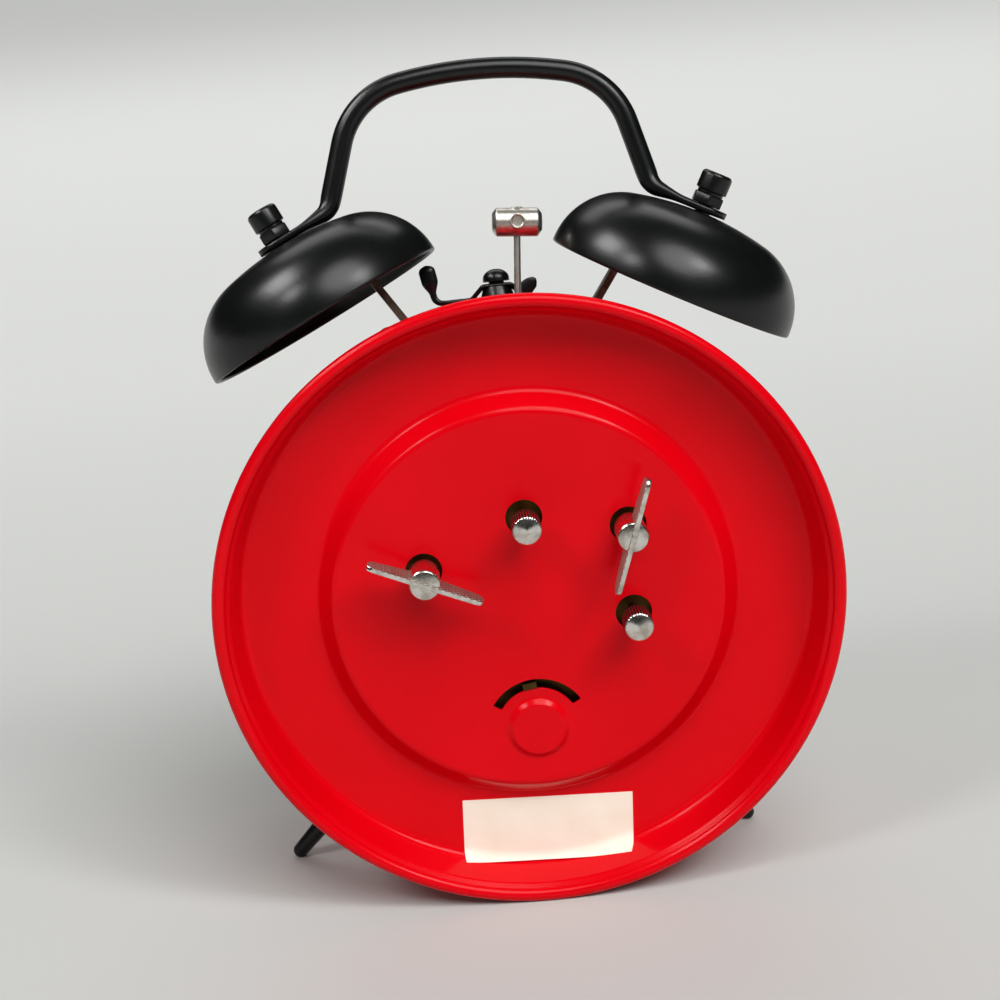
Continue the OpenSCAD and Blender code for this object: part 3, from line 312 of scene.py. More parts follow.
def close(material, shader):
    output = material.node_tree.nodes["Material Output"]
    material.node_tree.links.new(shader.outputs["BSDF"], output.inputs["Surface"])
    return material


def perMetre(size):
    # texture scale for a feature of this size in millimetres
    return 1000.0 / size


coarser = 4  # dust and scratches are drawn this many times larger than real ones, so that they show


def redEnamel():
    # Stoved enamel sprayed on pressed steel: deep gloss, a fine orange-peel skin, slightly uneven colour
    look = {"deep": "#CF000D", "clear": "#DC0112", "peel": 0.9, "cloud": 34.0}
    m = newMaterial("redStovedEnamel")
    spot = node(m, "ShaderNodeTexCoord")
    cloud = node(m, "ShaderNodeTexNoise", None, {"Scale": perMetre(look["cloud"]), "Detail": 3.0},
                 {"Vector": spot.outputs["Object"]})
    tint = node(m, "ShaderNodeValToRGB", None, None, {"Fac": cloud.outputs["Fac"]})
    stops(tint, (0.2, look["deep"]), (0.8, look["clear"]))
    tint.color_ramp.interpolation = "EASE"
    peel = node(m, "ShaderNodeTexNoise", None, {"Scale": perMetre(look["peel"]), "Detail": 1.5},
                {"Vector": spot.outputs["Object"]})
    bump = node(m, "ShaderNodeBump", None, {"Strength": 0.10, "Distance": 0.0002},
                {"Height": peel.outputs["Fac"]})
    rough = node(m, "ShaderNodeMapRange", None, {"To Min": 0.17, "To Max": 0.23},
                 {"Value": cloud.outputs["Fac"]})
    shader = node(m, "ShaderNodeBsdfPrincipled", None, {"IOR": 1.5, "Specular IOR Level": 0.12},
                  {"Base Color": tint.outputs["Color"], "Roughness": rough.outputs["Result"],
                   "Normal": bump.outputs["Normal"]})
    return close(m, shader)


def blackLacquer():
    # Satin lacquer on steel, dusty from handling: broad soft highlights and pale specks
    look = {"body": "#0A0B0C", "dust": "#33342F", "speck": 0.7, "cloud": 9.0, "grain": 0.5}
    m = newMaterial("blackSatinLacquer")
    spot = node(m, "ShaderNodeTexCoord")
    cloud = node(m, "ShaderNodeTexNoise", None,
                 {"Scale": perMetre(look["cloud"]), "Detail": 5.0, "Roughness": 0.6},
                 {"Vector": spot.outputs["Object"]})
    speck = node(m, "ShaderNodeTexVoronoi", None, {"Scale": perMetre(look["speck"] * coarser)},
                 {"Vector": spot.outputs["Object"]})
    dots = node(m, "ShaderNodeValToRGB", None, None, {"Fac": speck.outputs["Distance"]})
    stops(dots, (0.0, "#FFFFFF"), (0.07, "#000000"))
    film = node(m, "ShaderNodeMapRange", None,
                {"From Min": 0.35, "From Max": 0.8, "To Min": 0.0, "To Max": 0.06},
                {"Value": cloud.outputs["Fac"]})
    share = node(m, "ShaderNodeMath", {"operation": "MULTIPLY_ADD", "use_clamp": True}, {1: 0.35},
                 {0: dots.outputs["Color"], 2: film.outputs["Result"]})
    tint = node(m, "ShaderNodeMix", {"data_type": "RGBA"},
                {"A": colour(look["body"]), "B": colour(look["dust"])},
                {"Factor": share.outputs["Value"]})
    rough = node(m, "ShaderNodeMapRange", None, {"To Min": 0.25, "To Max": 0.32},
                 {"Value": cloud.outputs["Fac"]})
    grain = node(m, "ShaderNodeTexNoise", None, {"Scale": perMetre(look["grain"]), "Detail": 2.0},
                 {"Vector": spot.outputs["Object"]})
    bump = node(m, "ShaderNodeBump", None, {"Strength": 0.12, "Distance": 0.0001},
                {"Height": grain.outputs["Fac"]})
    shader = node(m, "ShaderNodeBsdfPrincipled", None, {"IOR": 1.5, "Specular IOR Level": 0.34},
                  {"Base Color": tint.outputs["Result"], "Roughness": rough.outputs["Result"],
                   "Normal": bump.outputs["Normal"]})
    return close(m, shader)


def crossHatch(m, spot, size, turned):
    # height of the diamonds pressed into a key's wings, which stand turned about the key's axis
    lean = 52
    flat = node(m, "ShaderNodeMapping", None, {"Rotation": (0, math.radians(turned), 0)},
                {"Vector": spot.outputs["Object"]})
    waves = []
    for angle in (lean, -lean):
        slant = node(m, "ShaderNodeMapping", None, {"Rotation": (0, 0, math.radians(angle))},
                     {"Vector": flat.outputs["Vector"]})
        waves.append(node(m, "ShaderNodeTexWave", {"bands_direction": "X"},
                          {"Scale": perMetre(size) / 10 * math.pi}, {"Vector": slant.outputs["Vector"]}))
    return node(m, "ShaderNodeMath", {"operation": "MINIMUM"}, None,
                {0: waves[0].outputs["Fac"], 1: waves[1].outputs["Fac"]})


def nickelPlate(name, hatchTurn=None, shine=0.12, worn=0.3):
    # Bright nickel plate on steel, finely scratched; the wings of a key are pressed with a cross hatch
    # whose grooves are painted darker as painted shade
    look = {"bright": "#E4E0DA", "dull": "#B9B2A6", "groove": "#8C817C", "stain": 2.6, "scratch": 0.35,
            "hatch": 0.75}
    m = newMaterial(name)
    spot = node(m, "ShaderNodeTexCoord")
    stain = node(m, "ShaderNodeTexNoise", None,
                 {"Scale": perMetre(look["stain"]), "Detail": 5.0, "Roughness": 0.65},
                 {"Vector": spot.outputs["Object"]})
    tint = node(m, "ShaderNodeValToRGB", None, None, {"Fac": stain.outputs["Fac"]})
    stops(tint, (0.38, look["dull"]), (0.58, look["bright"]))
    rough = node(m, "ShaderNodeMapRange", None,
                 {"From Min": 0.3, "From Max": 0.75, "To Min": worn, "To Max": shine},
                 {"Value": stain.outputs["Fac"]})
    line = node(m, "ShaderNodeMapping", None, {"Scale": (1.0, 9.0, 1.0), "Rotation": (0.2, 0.5, 0.3)},
                {"Vector": spot.outputs["Object"]})
    scratch = node(m, "ShaderNodeTexNoise", None,
                   {"Scale": perMetre(look["scratch"] * coarser), "Detail": 2.0},
                   {"Vector": line.outputs["Vector"]})
    bump = node(m, "ShaderNodeBump", None, {"Strength": 0.08, "Distance": 0.0001},
                {"Height": scratch.outputs["Fac"]})
    if hatchTurn is not None:
        hatch = crossHatch(m, spot, look["hatch"], hatchTurn)
        bump = node(m, "ShaderNodeBump", None, {"Strength": 0.7, "Distance": 0.0003},
                    {"Height": hatch.outputs["Value"], "Normal": bump.outputs["Normal"]})
        # painted shade: the hatch grooves are coloured darker than the tops
        tint = node(m, "ShaderNodeValToRGB", None, None, {"Fac": hatch.outputs["Value"]})
        stops(tint, (0.05, look["groove"]), (0.5, look["dull"]))
    shader = node(m, "ShaderNodeBsdfPrincipled", None, {"Metallic": 1.0},
                  {"Base Color": tint.outputs["Color"], "Roughness": rough.outputs["Result"],
                   "Normal": bump.outputs["Normal"]})
    return close(m, shader)


def darkFlute():
    # Bottom of the knurl: nickel painted dark grey as painted shade in the grooves
    m = newMaterial("knurlGrooveShadeNickel")
    shader = node(m, "ShaderNodeBsdfPrincipled", None,
                  {"Metallic": 1.0, "Roughness": 0.5, "Base Color": colour("#4A4340")})
    return close(m, shader)


def rolledBrass():
    # Rolled sheet brass, tarnished in patches
    look = {"clean": "#C9A050", "tarnish": "#8A6A30", "patch": 6.0, "brush": 3.0}
    m = newMaterial("rolledBrass")
    spot = node(m, "ShaderNodeTexCoord")
    patch = node(m, "ShaderNodeTexNoise", None, {"Scale": perMetre(look["patch"]), "Detail": 6.0},
                 {"Vector": spot.outputs["Object"]})
    tint = node(m, "ShaderNodeValToRGB", None, None, {"Fac": patch.outputs["Fac"]})
    stops(tint, (0.35, look["tarnish"]), (0.62, look["clean"]))
    rough = node(m, "ShaderNodeMapRange", None, {"To Min": 0.42, "To Max": 0.22},
                 {"Value": patch.outputs["Fac"]})
    line = node(m, "ShaderNodeMapping", None, {"Scale": (14.0, 1.0, 1.0)},
                {"Vector": spot.outputs["Object"]})
    brush = node(m, "ShaderNodeTexNoise", None, {"Scale": perMetre(look["brush"]), "Detail": 3.0},
                 {"Vector": line.outputs["Vector"]})
    bump = node(m, "ShaderNodeBump", None, {"Strength": 0.12, "Distance": 0.0001},
                {"Height": brush.outputs["Fac"]})
    shader = node(m, "ShaderNodeBsdfPrincipled", None, {"Metallic": 1.0},
                  {"Base Color": tint.outputs["Color"], "Roughness": rough.outputs["Result"],
                   "Normal": bump.outputs["Normal"]})
    return close(m, shader)


def mottled(name, look, metallic=0.0):
    # lays out a finish whose colour and gloss wander together in patches
    m = newMaterial(name)
    spot = node(m, "ShaderNodeTexCoord")
    patch = node(m, "ShaderNodeTexNoise", None,
                 {"Scale": perMetre(look["patch"]), "Detail": look["detail"],
                  "Roughness": look.get("broken", 0.5)},
                 {"Vector": spot.outputs["Object"]})
    tint = node(m, "ShaderNodeValToRGB", None, None, {"Fac": patch.outputs["Fac"]})
    stops(tint, *look["tints"])
    first, last = look["rough"]
    rough = node(m, "ShaderNodeMapRange", None, {"To Min": first, "To Max": last},
                 {"Value": patch.outputs["Fac"]})
    links = {"Base Color": tint.outputs["Color"], "Roughness": rough.outputs["Result"]}
    if "pitted" in look:
        bump = node(m, "ShaderNodeBump", None, {"Strength": look["pitted"], "Distance": 0.0001},
                    {"Height": patch.outputs["Fac"]})
        links["Normal"] = bump.outputs["Normal"]
    shader = node(m, "ShaderNodeBsdfPrincipled", None, {"Metallic": metallic}, links)
    return close(m, shader)


def plateBrass():
    # Plate brass of the movement, painted dark brown as painted shade for the inside of the case
    look = {"tints": ((0.3, "#2E2210"), (0.75, "#6A5228")), "patch": 5.0, "detail": 5.0,
            "rough": (0.35, 0.55)}
    return mottled("shadeDarkenedPlateBrass", look, 1.0)


def bareSteel():
    # Rolled strip steel without plating, dull and slightly brown
    look = {"tints": ((0.36, "#5A4C3C"), (0.66, "#8C8478")), "patch": 3.5, "detail": 6.0, "broken": 0.65,
            "rough": (0.55, 0.32), "pitted": 0.15}
    return mottled("bareStripSteel", look, 0.9)


def bluedSteel():
    # Tempered spring strip: blue oxide film that shifts toward straw
    look = {"tints": ((0.3, "#27324A"), (0.6, "#3C4A66"), (0.85, "#6B6250")), "patch": 5.0, "detail": 2.0,
            "rough": (0.2, 0.36)}
    return mottled("bluedSpringSteel", look, 1.0)


def labelPaper():
    # Uncoated cream paper: matt, with short fibres and slight yellowing
    look = {"aged": "#EDE3CF", "cream": "#F3EADA", "fresh": "#F7F0E2", "age": 7.0, "fibre": 0.6}
    m = newMaterial("creamLabelPaper")
    spot = node(m, "ShaderNodeTexCoord")
    age = node(m, "ShaderNodeTexNoise", None, {"Scale": perMetre(look["age"]), "Detail": 6.0},
               {"Vector": spot.outputs["Object"]})
    tint = node(m, "ShaderNodeValToRGB", None, None, {"Fac": age.outputs["Fac"]})
    stops(tint, (0.2, look["aged"]), (0.55, look["cream"]), (0.85, look["fresh"]))
    fibre = node(m, "ShaderNodeTexNoise", None, {"Scale": perMetre(look["fibre"]), "Detail": 4.0},
                 {"Vector": spot.outputs["Object"]})
    bump = node(m, "ShaderNodeBump", None, {"Strength": 0.2, "Distance": 0.0001},
                {"Height": fibre.outputs["Fac"]})
    rough = node(m, "ShaderNodeMapRange", None, {"To Min": 0.7, "To Max": 0.9},
                 {"Value": fibre.outputs["Fac"]})
    shader = node(m, "ShaderNodeBsdfPrincipled", None, {"Specular IOR Level": 0.3},
                  {"Base Color": tint.outputs["Color"], "Roughness": rough.outputs["Result"],
                   "Normal": bump.outputs["Normal"]})
    return close(m, shader)


def dialEnamel():
    # Matt white dial enamel, a little warmer in clouds
    look = {"tints": ((0.3, "#E2DFD4"), (0.7, "#EDEBE3")), "patch": 18.0, "detail": 4.0,
            "rough": (0.5, 0.62)}
    return mottled("whiteDialEnamel", look)


def printBlack():
    # Flat black of printed numerals and stamped hands
    look = {"tints": ((0.3, "#0C0C0D"), (0.8, "#1B1B1C")), "patch": 1.2, "detail": 3.0,
            "rough": (0.42, 0.6)}
    return mottled("flatBlackPrint", look)


def clearGlass():
    # Flat drawn glass over the dial, with faint handling marks
    look = {"glass": "#F6FAF9", "smear": 14.0}
    m = newMaterial("clearDialGlass")
    spot = node(m, "ShaderNodeTexCoord")
    smear = node(m, "ShaderNodeTexNoise", None, {"Scale": perMetre(look["smear"]), "Detail": 5.0},
                 {"Vector": spot.outputs["Object"]})
    rough = node(m, "ShaderNodeMapRange", None, {"To Min": 0.0, "To Max": 0.03},
                 {"Value": smear.outputs["Fac"]})
    shader = node(m, "ShaderNodeBsdfPrincipled", None,
                  {"Base Color": colour(look["glass"]), "IOR": 1.5, "Transmission Weight": 1.0},
                  {"Roughness": rough.outputs["Result"]})
    return close(m, shader)


red = redEnamel()
black = blackLacquer()
nickel = nickelPlate("brightNickelPlate")
dulled = nickelPlate("dulledNickelPlate", None, 0.26, 0.42)
flute = darkFlute()
brass = rolledBrass()
steel = bareSteel()
blued = bluedSteel()
ink = printBlack()
white = dialEnamel()
finishes = {"red_enamel": red, "black_lacquer": black, "nickel_plate": nickel, "brass": brass,
            "bare_steel": steel, "spring_steel": blued, "paper": labelPaper(), "glass": clearGlass(),
            "white_enamel": white, "black_hands": ink}
# the movement plates and the regulator sit in the case's shade and take the painted-shade brass
plates = ("back_plate", "front_plate", "regulator_lever")
shadedPlateFinish = plateBrass()
for part in frame["record"]["subparts"]:
    solid = frame["nodes"][part["node"]]
    solid.data.materials.clear()
    solid.data.materials.append(shadedPlateFinish if part["node"] in plates else finishes[part["material_slot"]])
print("materials ready:", len(finishes))


# Case and front


def makeCase():
    size = {"flange": 0.25, "segments": 192, "wallStart": 2.0, "curl": (180, 485), "curlSteps": 26}
    slit = {"near": -6.5, "far": 6.2, "wide": 3.3, "high": 8, "z": 25.2, "corner": 1.2}
    r, bead, front = clock["rimR"], clock["beadR"], clock["length"]
    start, flange = size["wallStart"], size["flange"]
    profile = [(wallIn(front), front), (wallIn(start), start)]
    profile += arc(r - bead, bead, bead, *size["curl"], size["curlSteps"])  # rolled rear rim
    profile += [(wallOut(front), front - flange), (wallOut(front) - flange, front), (wallIn(front), front)]
    shell = lathe("caseShell", profile, size["segments"])
    # slit for the hammer rod
    wallY = wallOut(slit["z"])
    depth = clock["leanZ"] + (wallY - clock["leanY"]) * math.tan(math.radians(clock["taper"]))
    alone()
    bpy.ops.mesh.primitive_cube_add(size=1)
    cutter = bpy.context.object
    cutter.scale = (slit["far"] - slit["near"], slit["high"], slit["wide"])
    cutter.location = ((slit["far"] + slit["near"]) / 2, wallY, depth)
    settle(cutter)
    soften(cutter, slit["corner"], 4)
    cut(shell, cutter)
    place(shell, onClock)
    return done(shell, red, "clock", "red_enamel", "case_shell")


def makeCover():
    size = {"sheet": 0.6, "gap": 0.05, "lipZ": 1.0, "edgeZ": 1.6, "rollZ": 1.9, "rollR": 1.1,
            "plateauR": 36.7, "stepR": 39.7, "stepBend": 2.0, "stepBack": 0.3, "wallBend": 1.6,
            "holeR": 3.45, "segments": 192, "soft": 0.12, "sliver": 0.01}
    slit = {"r": 8.85, "wide": 1.9, "half": 59, "deep": 3, "corner": 0.35, "steps": 48}
    boss = {"discR": 4.9, "r": 6.0, "rise": 0.9, "discBend": 0.7, "bend": 1.2, "skirt": 1.2, "lap": 0.02,
            "sunk": 0.3}
    t, top, ring = size["sheet"], clock["plateauZ"], clock["ringZ"]
    lip, roll, bend = size["lipZ"], size["rollZ"], size["stepBend"]

    def edge(z):
        return wallIn(z) - size["gap"]

    seen = filleted([(0, top), (size["plateauR"], top, bend), (size["stepR"], ring, bend),
                     (edge(ring) - t, ring, size["wallBend"]), (edge(roll) - t, roll, size["rollR"]),
                     (edge(lip), lip)], 10)
    hidden = filleted([(edge(lip), lip), (edge(size["edgeZ"]), size["edgeZ"]),
                       (edge(ring + t), ring + t, size["wallBend"]),
                       (size["stepR"] - size["stepBack"], ring + t, bend),
                       (size["plateauR"] - size["stepBack"], top + t, bend), (0, top + t)], 10)
    cover = lathe("backCover", seen + hidden, size["segments"])
    for spot in (clock["timeKey"], clock["alarmKey"], clock["timeKnob"], clock["alarmKnob"]):
        alone()
        bpy.ops.mesh.primitive_cylinder_add(vertices=64, radius=size["holeR"], depth=2 * slit["deep"],
                                            location=(*spot, top))
        cut(cover, bpy.context.object)
    bx, by = clock["balance"]
    inner, outer = slit["r"] - slit["wide"] / 2, slit["r"] + slit["wide"] / 2
    low, high = top - slit["deep"], top + slit["deep"]
    rings = []
    for i in range(slit["steps"] + 1):
        a = math.radians(90 - slit["half"] + 2 * slit["half"] * i / slit["steps"])
        rings.append([(bx + r * math.cos(a), by + r * math.sin(a), z)
                      for r, z in ((inner, low), (outer, low), (outer, high), (inner, high))])
    cutter = loft("slotCutter", rings)
    soften(cutter, slit["corner"], 4, 80)
    cut(cover, cutter)
    weld(cover, size["sliver"])
    soften(cover, size["soft"], 2, 60)
    weld(cover, size["sliver"])
    skirtR = boss["r"] + boss["skirt"]
    dome = lathe("coverBoss", filleted(
        [(0, -boss["rise"]), (boss["discR"], -boss["rise"], boss["discBend"]), (boss["r"], 0, boss["bend"]),
         (skirtR, boss["lap"]), (skirtR, boss["sunk"]), (0, boss["sunk"])], 8), 96)
    dome.location = (bx, by, top)
    settle(dome)
    join(cover, dome)
    place(cover, onClock)
    return done(cover, red, "clock", "red_enamel", "back_cover", flats=True)


def makeBezel():
    size = {"openR": 42.5, "lip": 2.5, "over": 0.6, "plug": 1.8, "sheet": 0.8, "gap": 0.05, "slope": 1.6,
            "edge": 0.7, "segments": 192}
    front = clock["length"]
    face, back = front + size["lip"], front - size["plug"]
    lipR = wallOut(front) + size["over"]
    plugR = wallIn(front) - size["gap"]
    insideR, openR = plugR - size["sheet"], size["openR"]
    profile = filleted(
        [(insideR, back), (plugR, back, 0.2), (plugR, front, 0.05), (lipR, front, 0.6), (lipR, face, 1.7),
         (openR + size["slope"], face, 1.0), (openR, front + size["edge"], 0.5), (openR, front, 0.2),
         (insideR, front, 0.05), (insideR, back)], 7)
    bezel = lathe("frontBezel", profile, size["segments"])
    place(bezel, onClock)
    return done(bezel, red, "clock", "red_enamel", "front_bezel")


def makeLabel():
    # glued on the ring; its lower edge runs up the wall
    size = {"wide": 33.0, "high": 13.1, "turned": 2.1, "middle": (-0.63, -47.48), "bendR": 2.6,
            "paper": 0.1, "off": 0.03, "coverWall": 0.65}
    alone()
    bpy.ops.mesh.primitive_grid_add(x_subdivisions=66, y_subdivisions=36, size=1)
    label = bpy.context.object
    label.name = "paperLabel"
    ring = clock["ringZ"]
    lean = math.radians(90 - clock["taper"])
    start = wallIn(ring) - size["coverWall"] - size["bendR"] * math.tan(lean / 2)
    tilt = turn("Z", size["turned"])
    middle = Vector((*size["middle"], 0))
    for point in label.data.vertices:
        flat = tilt @ Vector((point.co.x * size["wide"], point.co.y * size["high"], 0)) + middle
        reach = flat.xy.length
        run = reach - start
        out, rise = reach, 0.0
        if run > 0:
            bend = min(run / size["bendR"], lean)
            rest = run - bend * size["bendR"]
            out = start + size["bendR"] * math.sin(bend) + rest * math.cos(lean)
            rise = size["bendR"] * (1 - math.cos(bend)) + rest * math.sin(lean)
        point.co = (flat.x * out / reach, flat.y * out / reach, ring - size["off"] - rise)
    pick(label)
    sheet = label.modifiers.new("sheet", "SOLIDIFY")
    sheet.thickness = size["paper"]
    sheet.offset = 0
    bpy.ops.object.modifier_apply(modifier="sheet")
    bpy.ops.object.mode_set(mode="EDIT")
    bpy.ops.mesh.select_all(action="SELECT")
    bpy.ops.mesh.normals_make_consistent(inside=False)
    bpy.ops.object.mode_set(mode="OBJECT")
    place(label, onClock)
    return done(label, finishes["paper"], "clock", "paper", "paper_label", angle=50)


makeCase()
makeCover()
makeLabel()
makeBezel()
print("case, cover, label and bezel made")


# Bells and handle

bell = {"r": 24.2, "h": 15.6, "wall": 0.9, "side": 0.6, "shoulder": 13.8, "x": 32.7, "y": 54.0,
        "tilt": 26.9, "turned": {-1: 7.2, 1: 0.0}, "off": 0.9}


def onBell(side):
    foot = onLean @ shift(bell["off"] + side * bell["x"], bell["y"], 0) @ turn("Z", -side * bell["tilt"])
    crown = foot @ turn("X", -90) @ shift(0, 0, bell["h"])
    return crown @ turn("X", -bell["turned"][side]) @ shift(0, 0, -bell["h"])


def bellCurve(offset, r0):
    r, h, s = bell["r"] - offset, bell["h"] - offset, bell["shoulder"] - offset
    a, rise = r - s, h - bell["side"]
    crown = (a * a + rise * rise - s * s) / (2 * (rise - s))
    lean = math.degrees(math.atan2(bell["side"] - (h - crown), a))
    top = math.degrees(math.acos(r0 / crown))
    return arc(a, bell["side"], s, 0, lean, 24) + arc(0, h - crown, crown, lean, top, 12)[1:]


def makeBell(name, side, nodeName):
    size = {"hole": 1.55, "lip": 0.45, "segments": 160}
    lip = arc(bell["r"] - size["lip"], size["lip"], size["lip"], 180, 360, 10)
    profile = lip + bellCurve(0, size["hole"]) + bellCurve(bell["wall"], size["hole"])[::-1]
    piece = lathe(name, profile + [profile[0]], size["segments"])
    place(piece, onBell(side))
    return done(piece, black, "clock", "black_lacquer", nodeName)


def makeNuts():
    size = {"seat": 17.2, "flats": 5.5, "nutH": 2.0, "nutEdge": 0.22, "neck": 2.5, "neckH": 0.6,
            "neckBend": 0.1, "capR": 3.0, "capH": 4.3, "capStart": 0.7, "capRound": 0.8}
    cornerR = size["flats"] / 2 / math.cos(math.radians(30))
    base = size["seat"] + size["nutH"]
    top = base + size["capH"]
    nuts, caps = [], []
    for side in (-1, 1):
        alone()
        bpy.ops.mesh.primitive_cylinder_add(vertices=6, radius=cornerR, depth=size["nutH"],
                                            location=(0, 0, size["seat"] + size["nutH"] / 2))
        nut = bpy.context.object
        nut.name = "bellHexNut"
        settle(nut)
        soften(nut, size["nutEdge"], 3)
        place(nut, onBell(side))
        nuts.append(nut)
        profile = filleted(
            [(0, base), (size["neck"], base, size["neckBend"]),
             (size["neck"], base + size["neckH"], size["neckBend"]),
             (size["capR"], base + size["capStart"], 0.2), (size["capR"], top, size["capRound"]),
             (0, top)], 6)
        cap = lathe("bellCapNut", profile, 64)
        place(cap, onBell(side))
        caps.append(cap)
    done(join(*nuts), black, "clock", "black_lacquer", "bell_hex_nuts")
    done(join(*caps), black, "clock", "black_lacquer", "bell_cap_nuts")


def bellPoint(x, z):
    c, s = math.cos(math.radians(bell["tilt"])), math.sin(math.radians(bell["tilt"]))
    return (bell["x"] + x * c + z * s, bell["y"] - x * s + z * c)


def makeHandle():
    # round rod, hammered flat where it lies on the bells
    grip = {"r": 2.0, "flatT": 0.76, "flatW": 3.2, "flatLen": 8.5, "roundLen": 18.0, "seat": 0.84,
            "ends": ((4.4, 0.0), (-4.5, -0.02), (-10.9, 0.2)), "footR": 4.0, "shoulder": (24.5, 94.8),
            "shoulderR": 14.7, "crown": 99.47, "crownR": 80.0, "sides": 32, "step": 0.9}
    seat = bell["h"] + grip["seat"]
    half = [bellPoint(x, seat + rise) for x, rise in grip["ends"]]
    half[-1] = (*half[-1], grip["footR"])
    half.append((*grip["shoulder"], grip["shoulderR"]))
    corners = half + [(0, grip["crown"], grip["crownR"])] + [(-p[0], *p[1:]) for p in half[::-1]]
    line = subdivided(filleted(corners, 14), grip["step"])
    lengths = [0.0]
    for a, b in zip(line, line[1:]):
        lengths.append(lengths[-1] + (b - a).length)
    rings = []
    for i, point in enumerate(line):
        way = (line[min(i + 1, len(line) - 1)] - line[max(i - 1, 0)]).normalized()
        run = min(lengths[i], lengths[-1] - lengths[i])
        mix = eased(run, grip["flatLen"], grip["roundLen"])
        thick = grip["flatT"] + (grip["r"] - grip["flatT"]) * mix
        wide = grip["flatW"] + (grip["r"] - grip["flatW"]) * mix
        if run < grip["flatW"]:
            # rounded tip, a little thinner
            share = 1 - run / grip["flatW"]
            wide *= max(0.25, math.sqrt(max(0.0, 1 - share * share)))
            thick *= 0.8 + 0.2 * run / grip["flatW"]
        power = 1 if mix > 0.99 else 0.55 + 0.45 * mix
        # the flat ends lie on their bell's turned top
        twist = math.radians(bell["turned"][1 if point.x > 0 else -1]) * (1 - mix)
        c, s = math.cos(twist), math.sin(twist)
        ring = []
        for p, q in section(grip["sides"], power):
            u, v = p * thick, q * wide
            u, v = u * c - v * s, v * c + u * s - grip["seat"] * s
            ring.append((point.x - way.y * u, point.y + way.x * u, v))
        rings.append(ring)
    piece = loft("carryingHandle", rings)
    place(piece, onLean @ shift(bell["off"], 0, 0))
    return done(piece, black, "clock", "black_lacquer", "carrying_handle", angle=45)


makeBell("bellLeft", -1, "bell_left")
makeBell("bellRight", 1, "bell_right")
makeNuts()
makeHandle()
print("bells, nuts and handle made")


# Hammer, stop lever and legs


def makeHammer():
    size = {"len": 42.0, "rest": 4.0, "x": -0.8, "headLen": 9.5, "headR": 2.7, "chamfer": 0.75,
            "rodR": 0.65, "rodStart": 1.7, "rodShort": 1.0, "rivetR": 1.45, "peenSunk": 0.1}
    onHammer = (onClock @ shift(size["x"], clock["leanY"], clock["leanZ"]) @ turn("X", clock["taper"])
                @ turn("Z", size["rest"]))
    half, r, c = size["headLen"] / 2, size["headR"], size["chamfer"]
    end = [(r - c - 0.3, half - 0.05, 0.3), (r - 0.12, half - c, 0.15), (r, half - c - 0.25, 0.3)]
    profile = [(0, -half)] + [(x, -z, bend) for x, z, bend in end] + end[::-1] + [(0, half)]
    head = lathe("hammerHead", filleted(profile, 5), 72)
    place(head, onHammer @ shift(0, size["len"], 0) @ turn("Y", 90))
    rr = size["rivetR"]
    rivet = lathe("headRivet", filleted(
        [(0, 0.18), (rr - 0.45, 0.15, 0.1), (rr - 0.3, 0.5, 0.1), (rr, 0.5, 0.15), (rr + 0.05, -0.6),
         (0, -0.6)], 5), 48)
    place(rivet, onHammer @ shift(0, size["len"], -r) @ turn("X", 180))
    peen = lathe("rodPeen", filleted([(0, 0.4), (0.9, 0.3, 0.4), (1.5, -0.3), (0, -0.4)], 6), 40)
    place(peen, onHammer @ shift(0, size["len"] + r - size["peenSunk"], 0) @ turn("X", -90))
    join(head, rivet, peen)
    done(head, dulled, "hammer", "nickel_plate", "hammer_head")
    start, tip = size["rodStart"], size["len"] - size["rodShort"]
    rod = lathe("hammerRod", [(0, start), (size["rodR"], start), (size["rodR"], tip), (0, tip)], 32)
    place(rod, onHammer @ turn("X", -90))
    done(rod, dulled, "hammer", "nickel_plate", "hammer_rod")


def barRings(stations, sides, power):
    # rounded sections along a line in the x-z plane: x, z, half thickness, half width
    points = [Vector((s[0], s[1])) for s in stations]
    rings = []
    for i, (x, z, thick, wide) in enumerate(stations):
        way = (points[min(i + 1, len(points) - 1)] - points[max(i - 1, 0)]).normalized()
        ring = []
        for p, q in section(sides, power):
            u, v = p * thick, q * wide
            ring.append((x - way.y * u, v, z + way.x * u))
        rings.append(ring)
    return rings


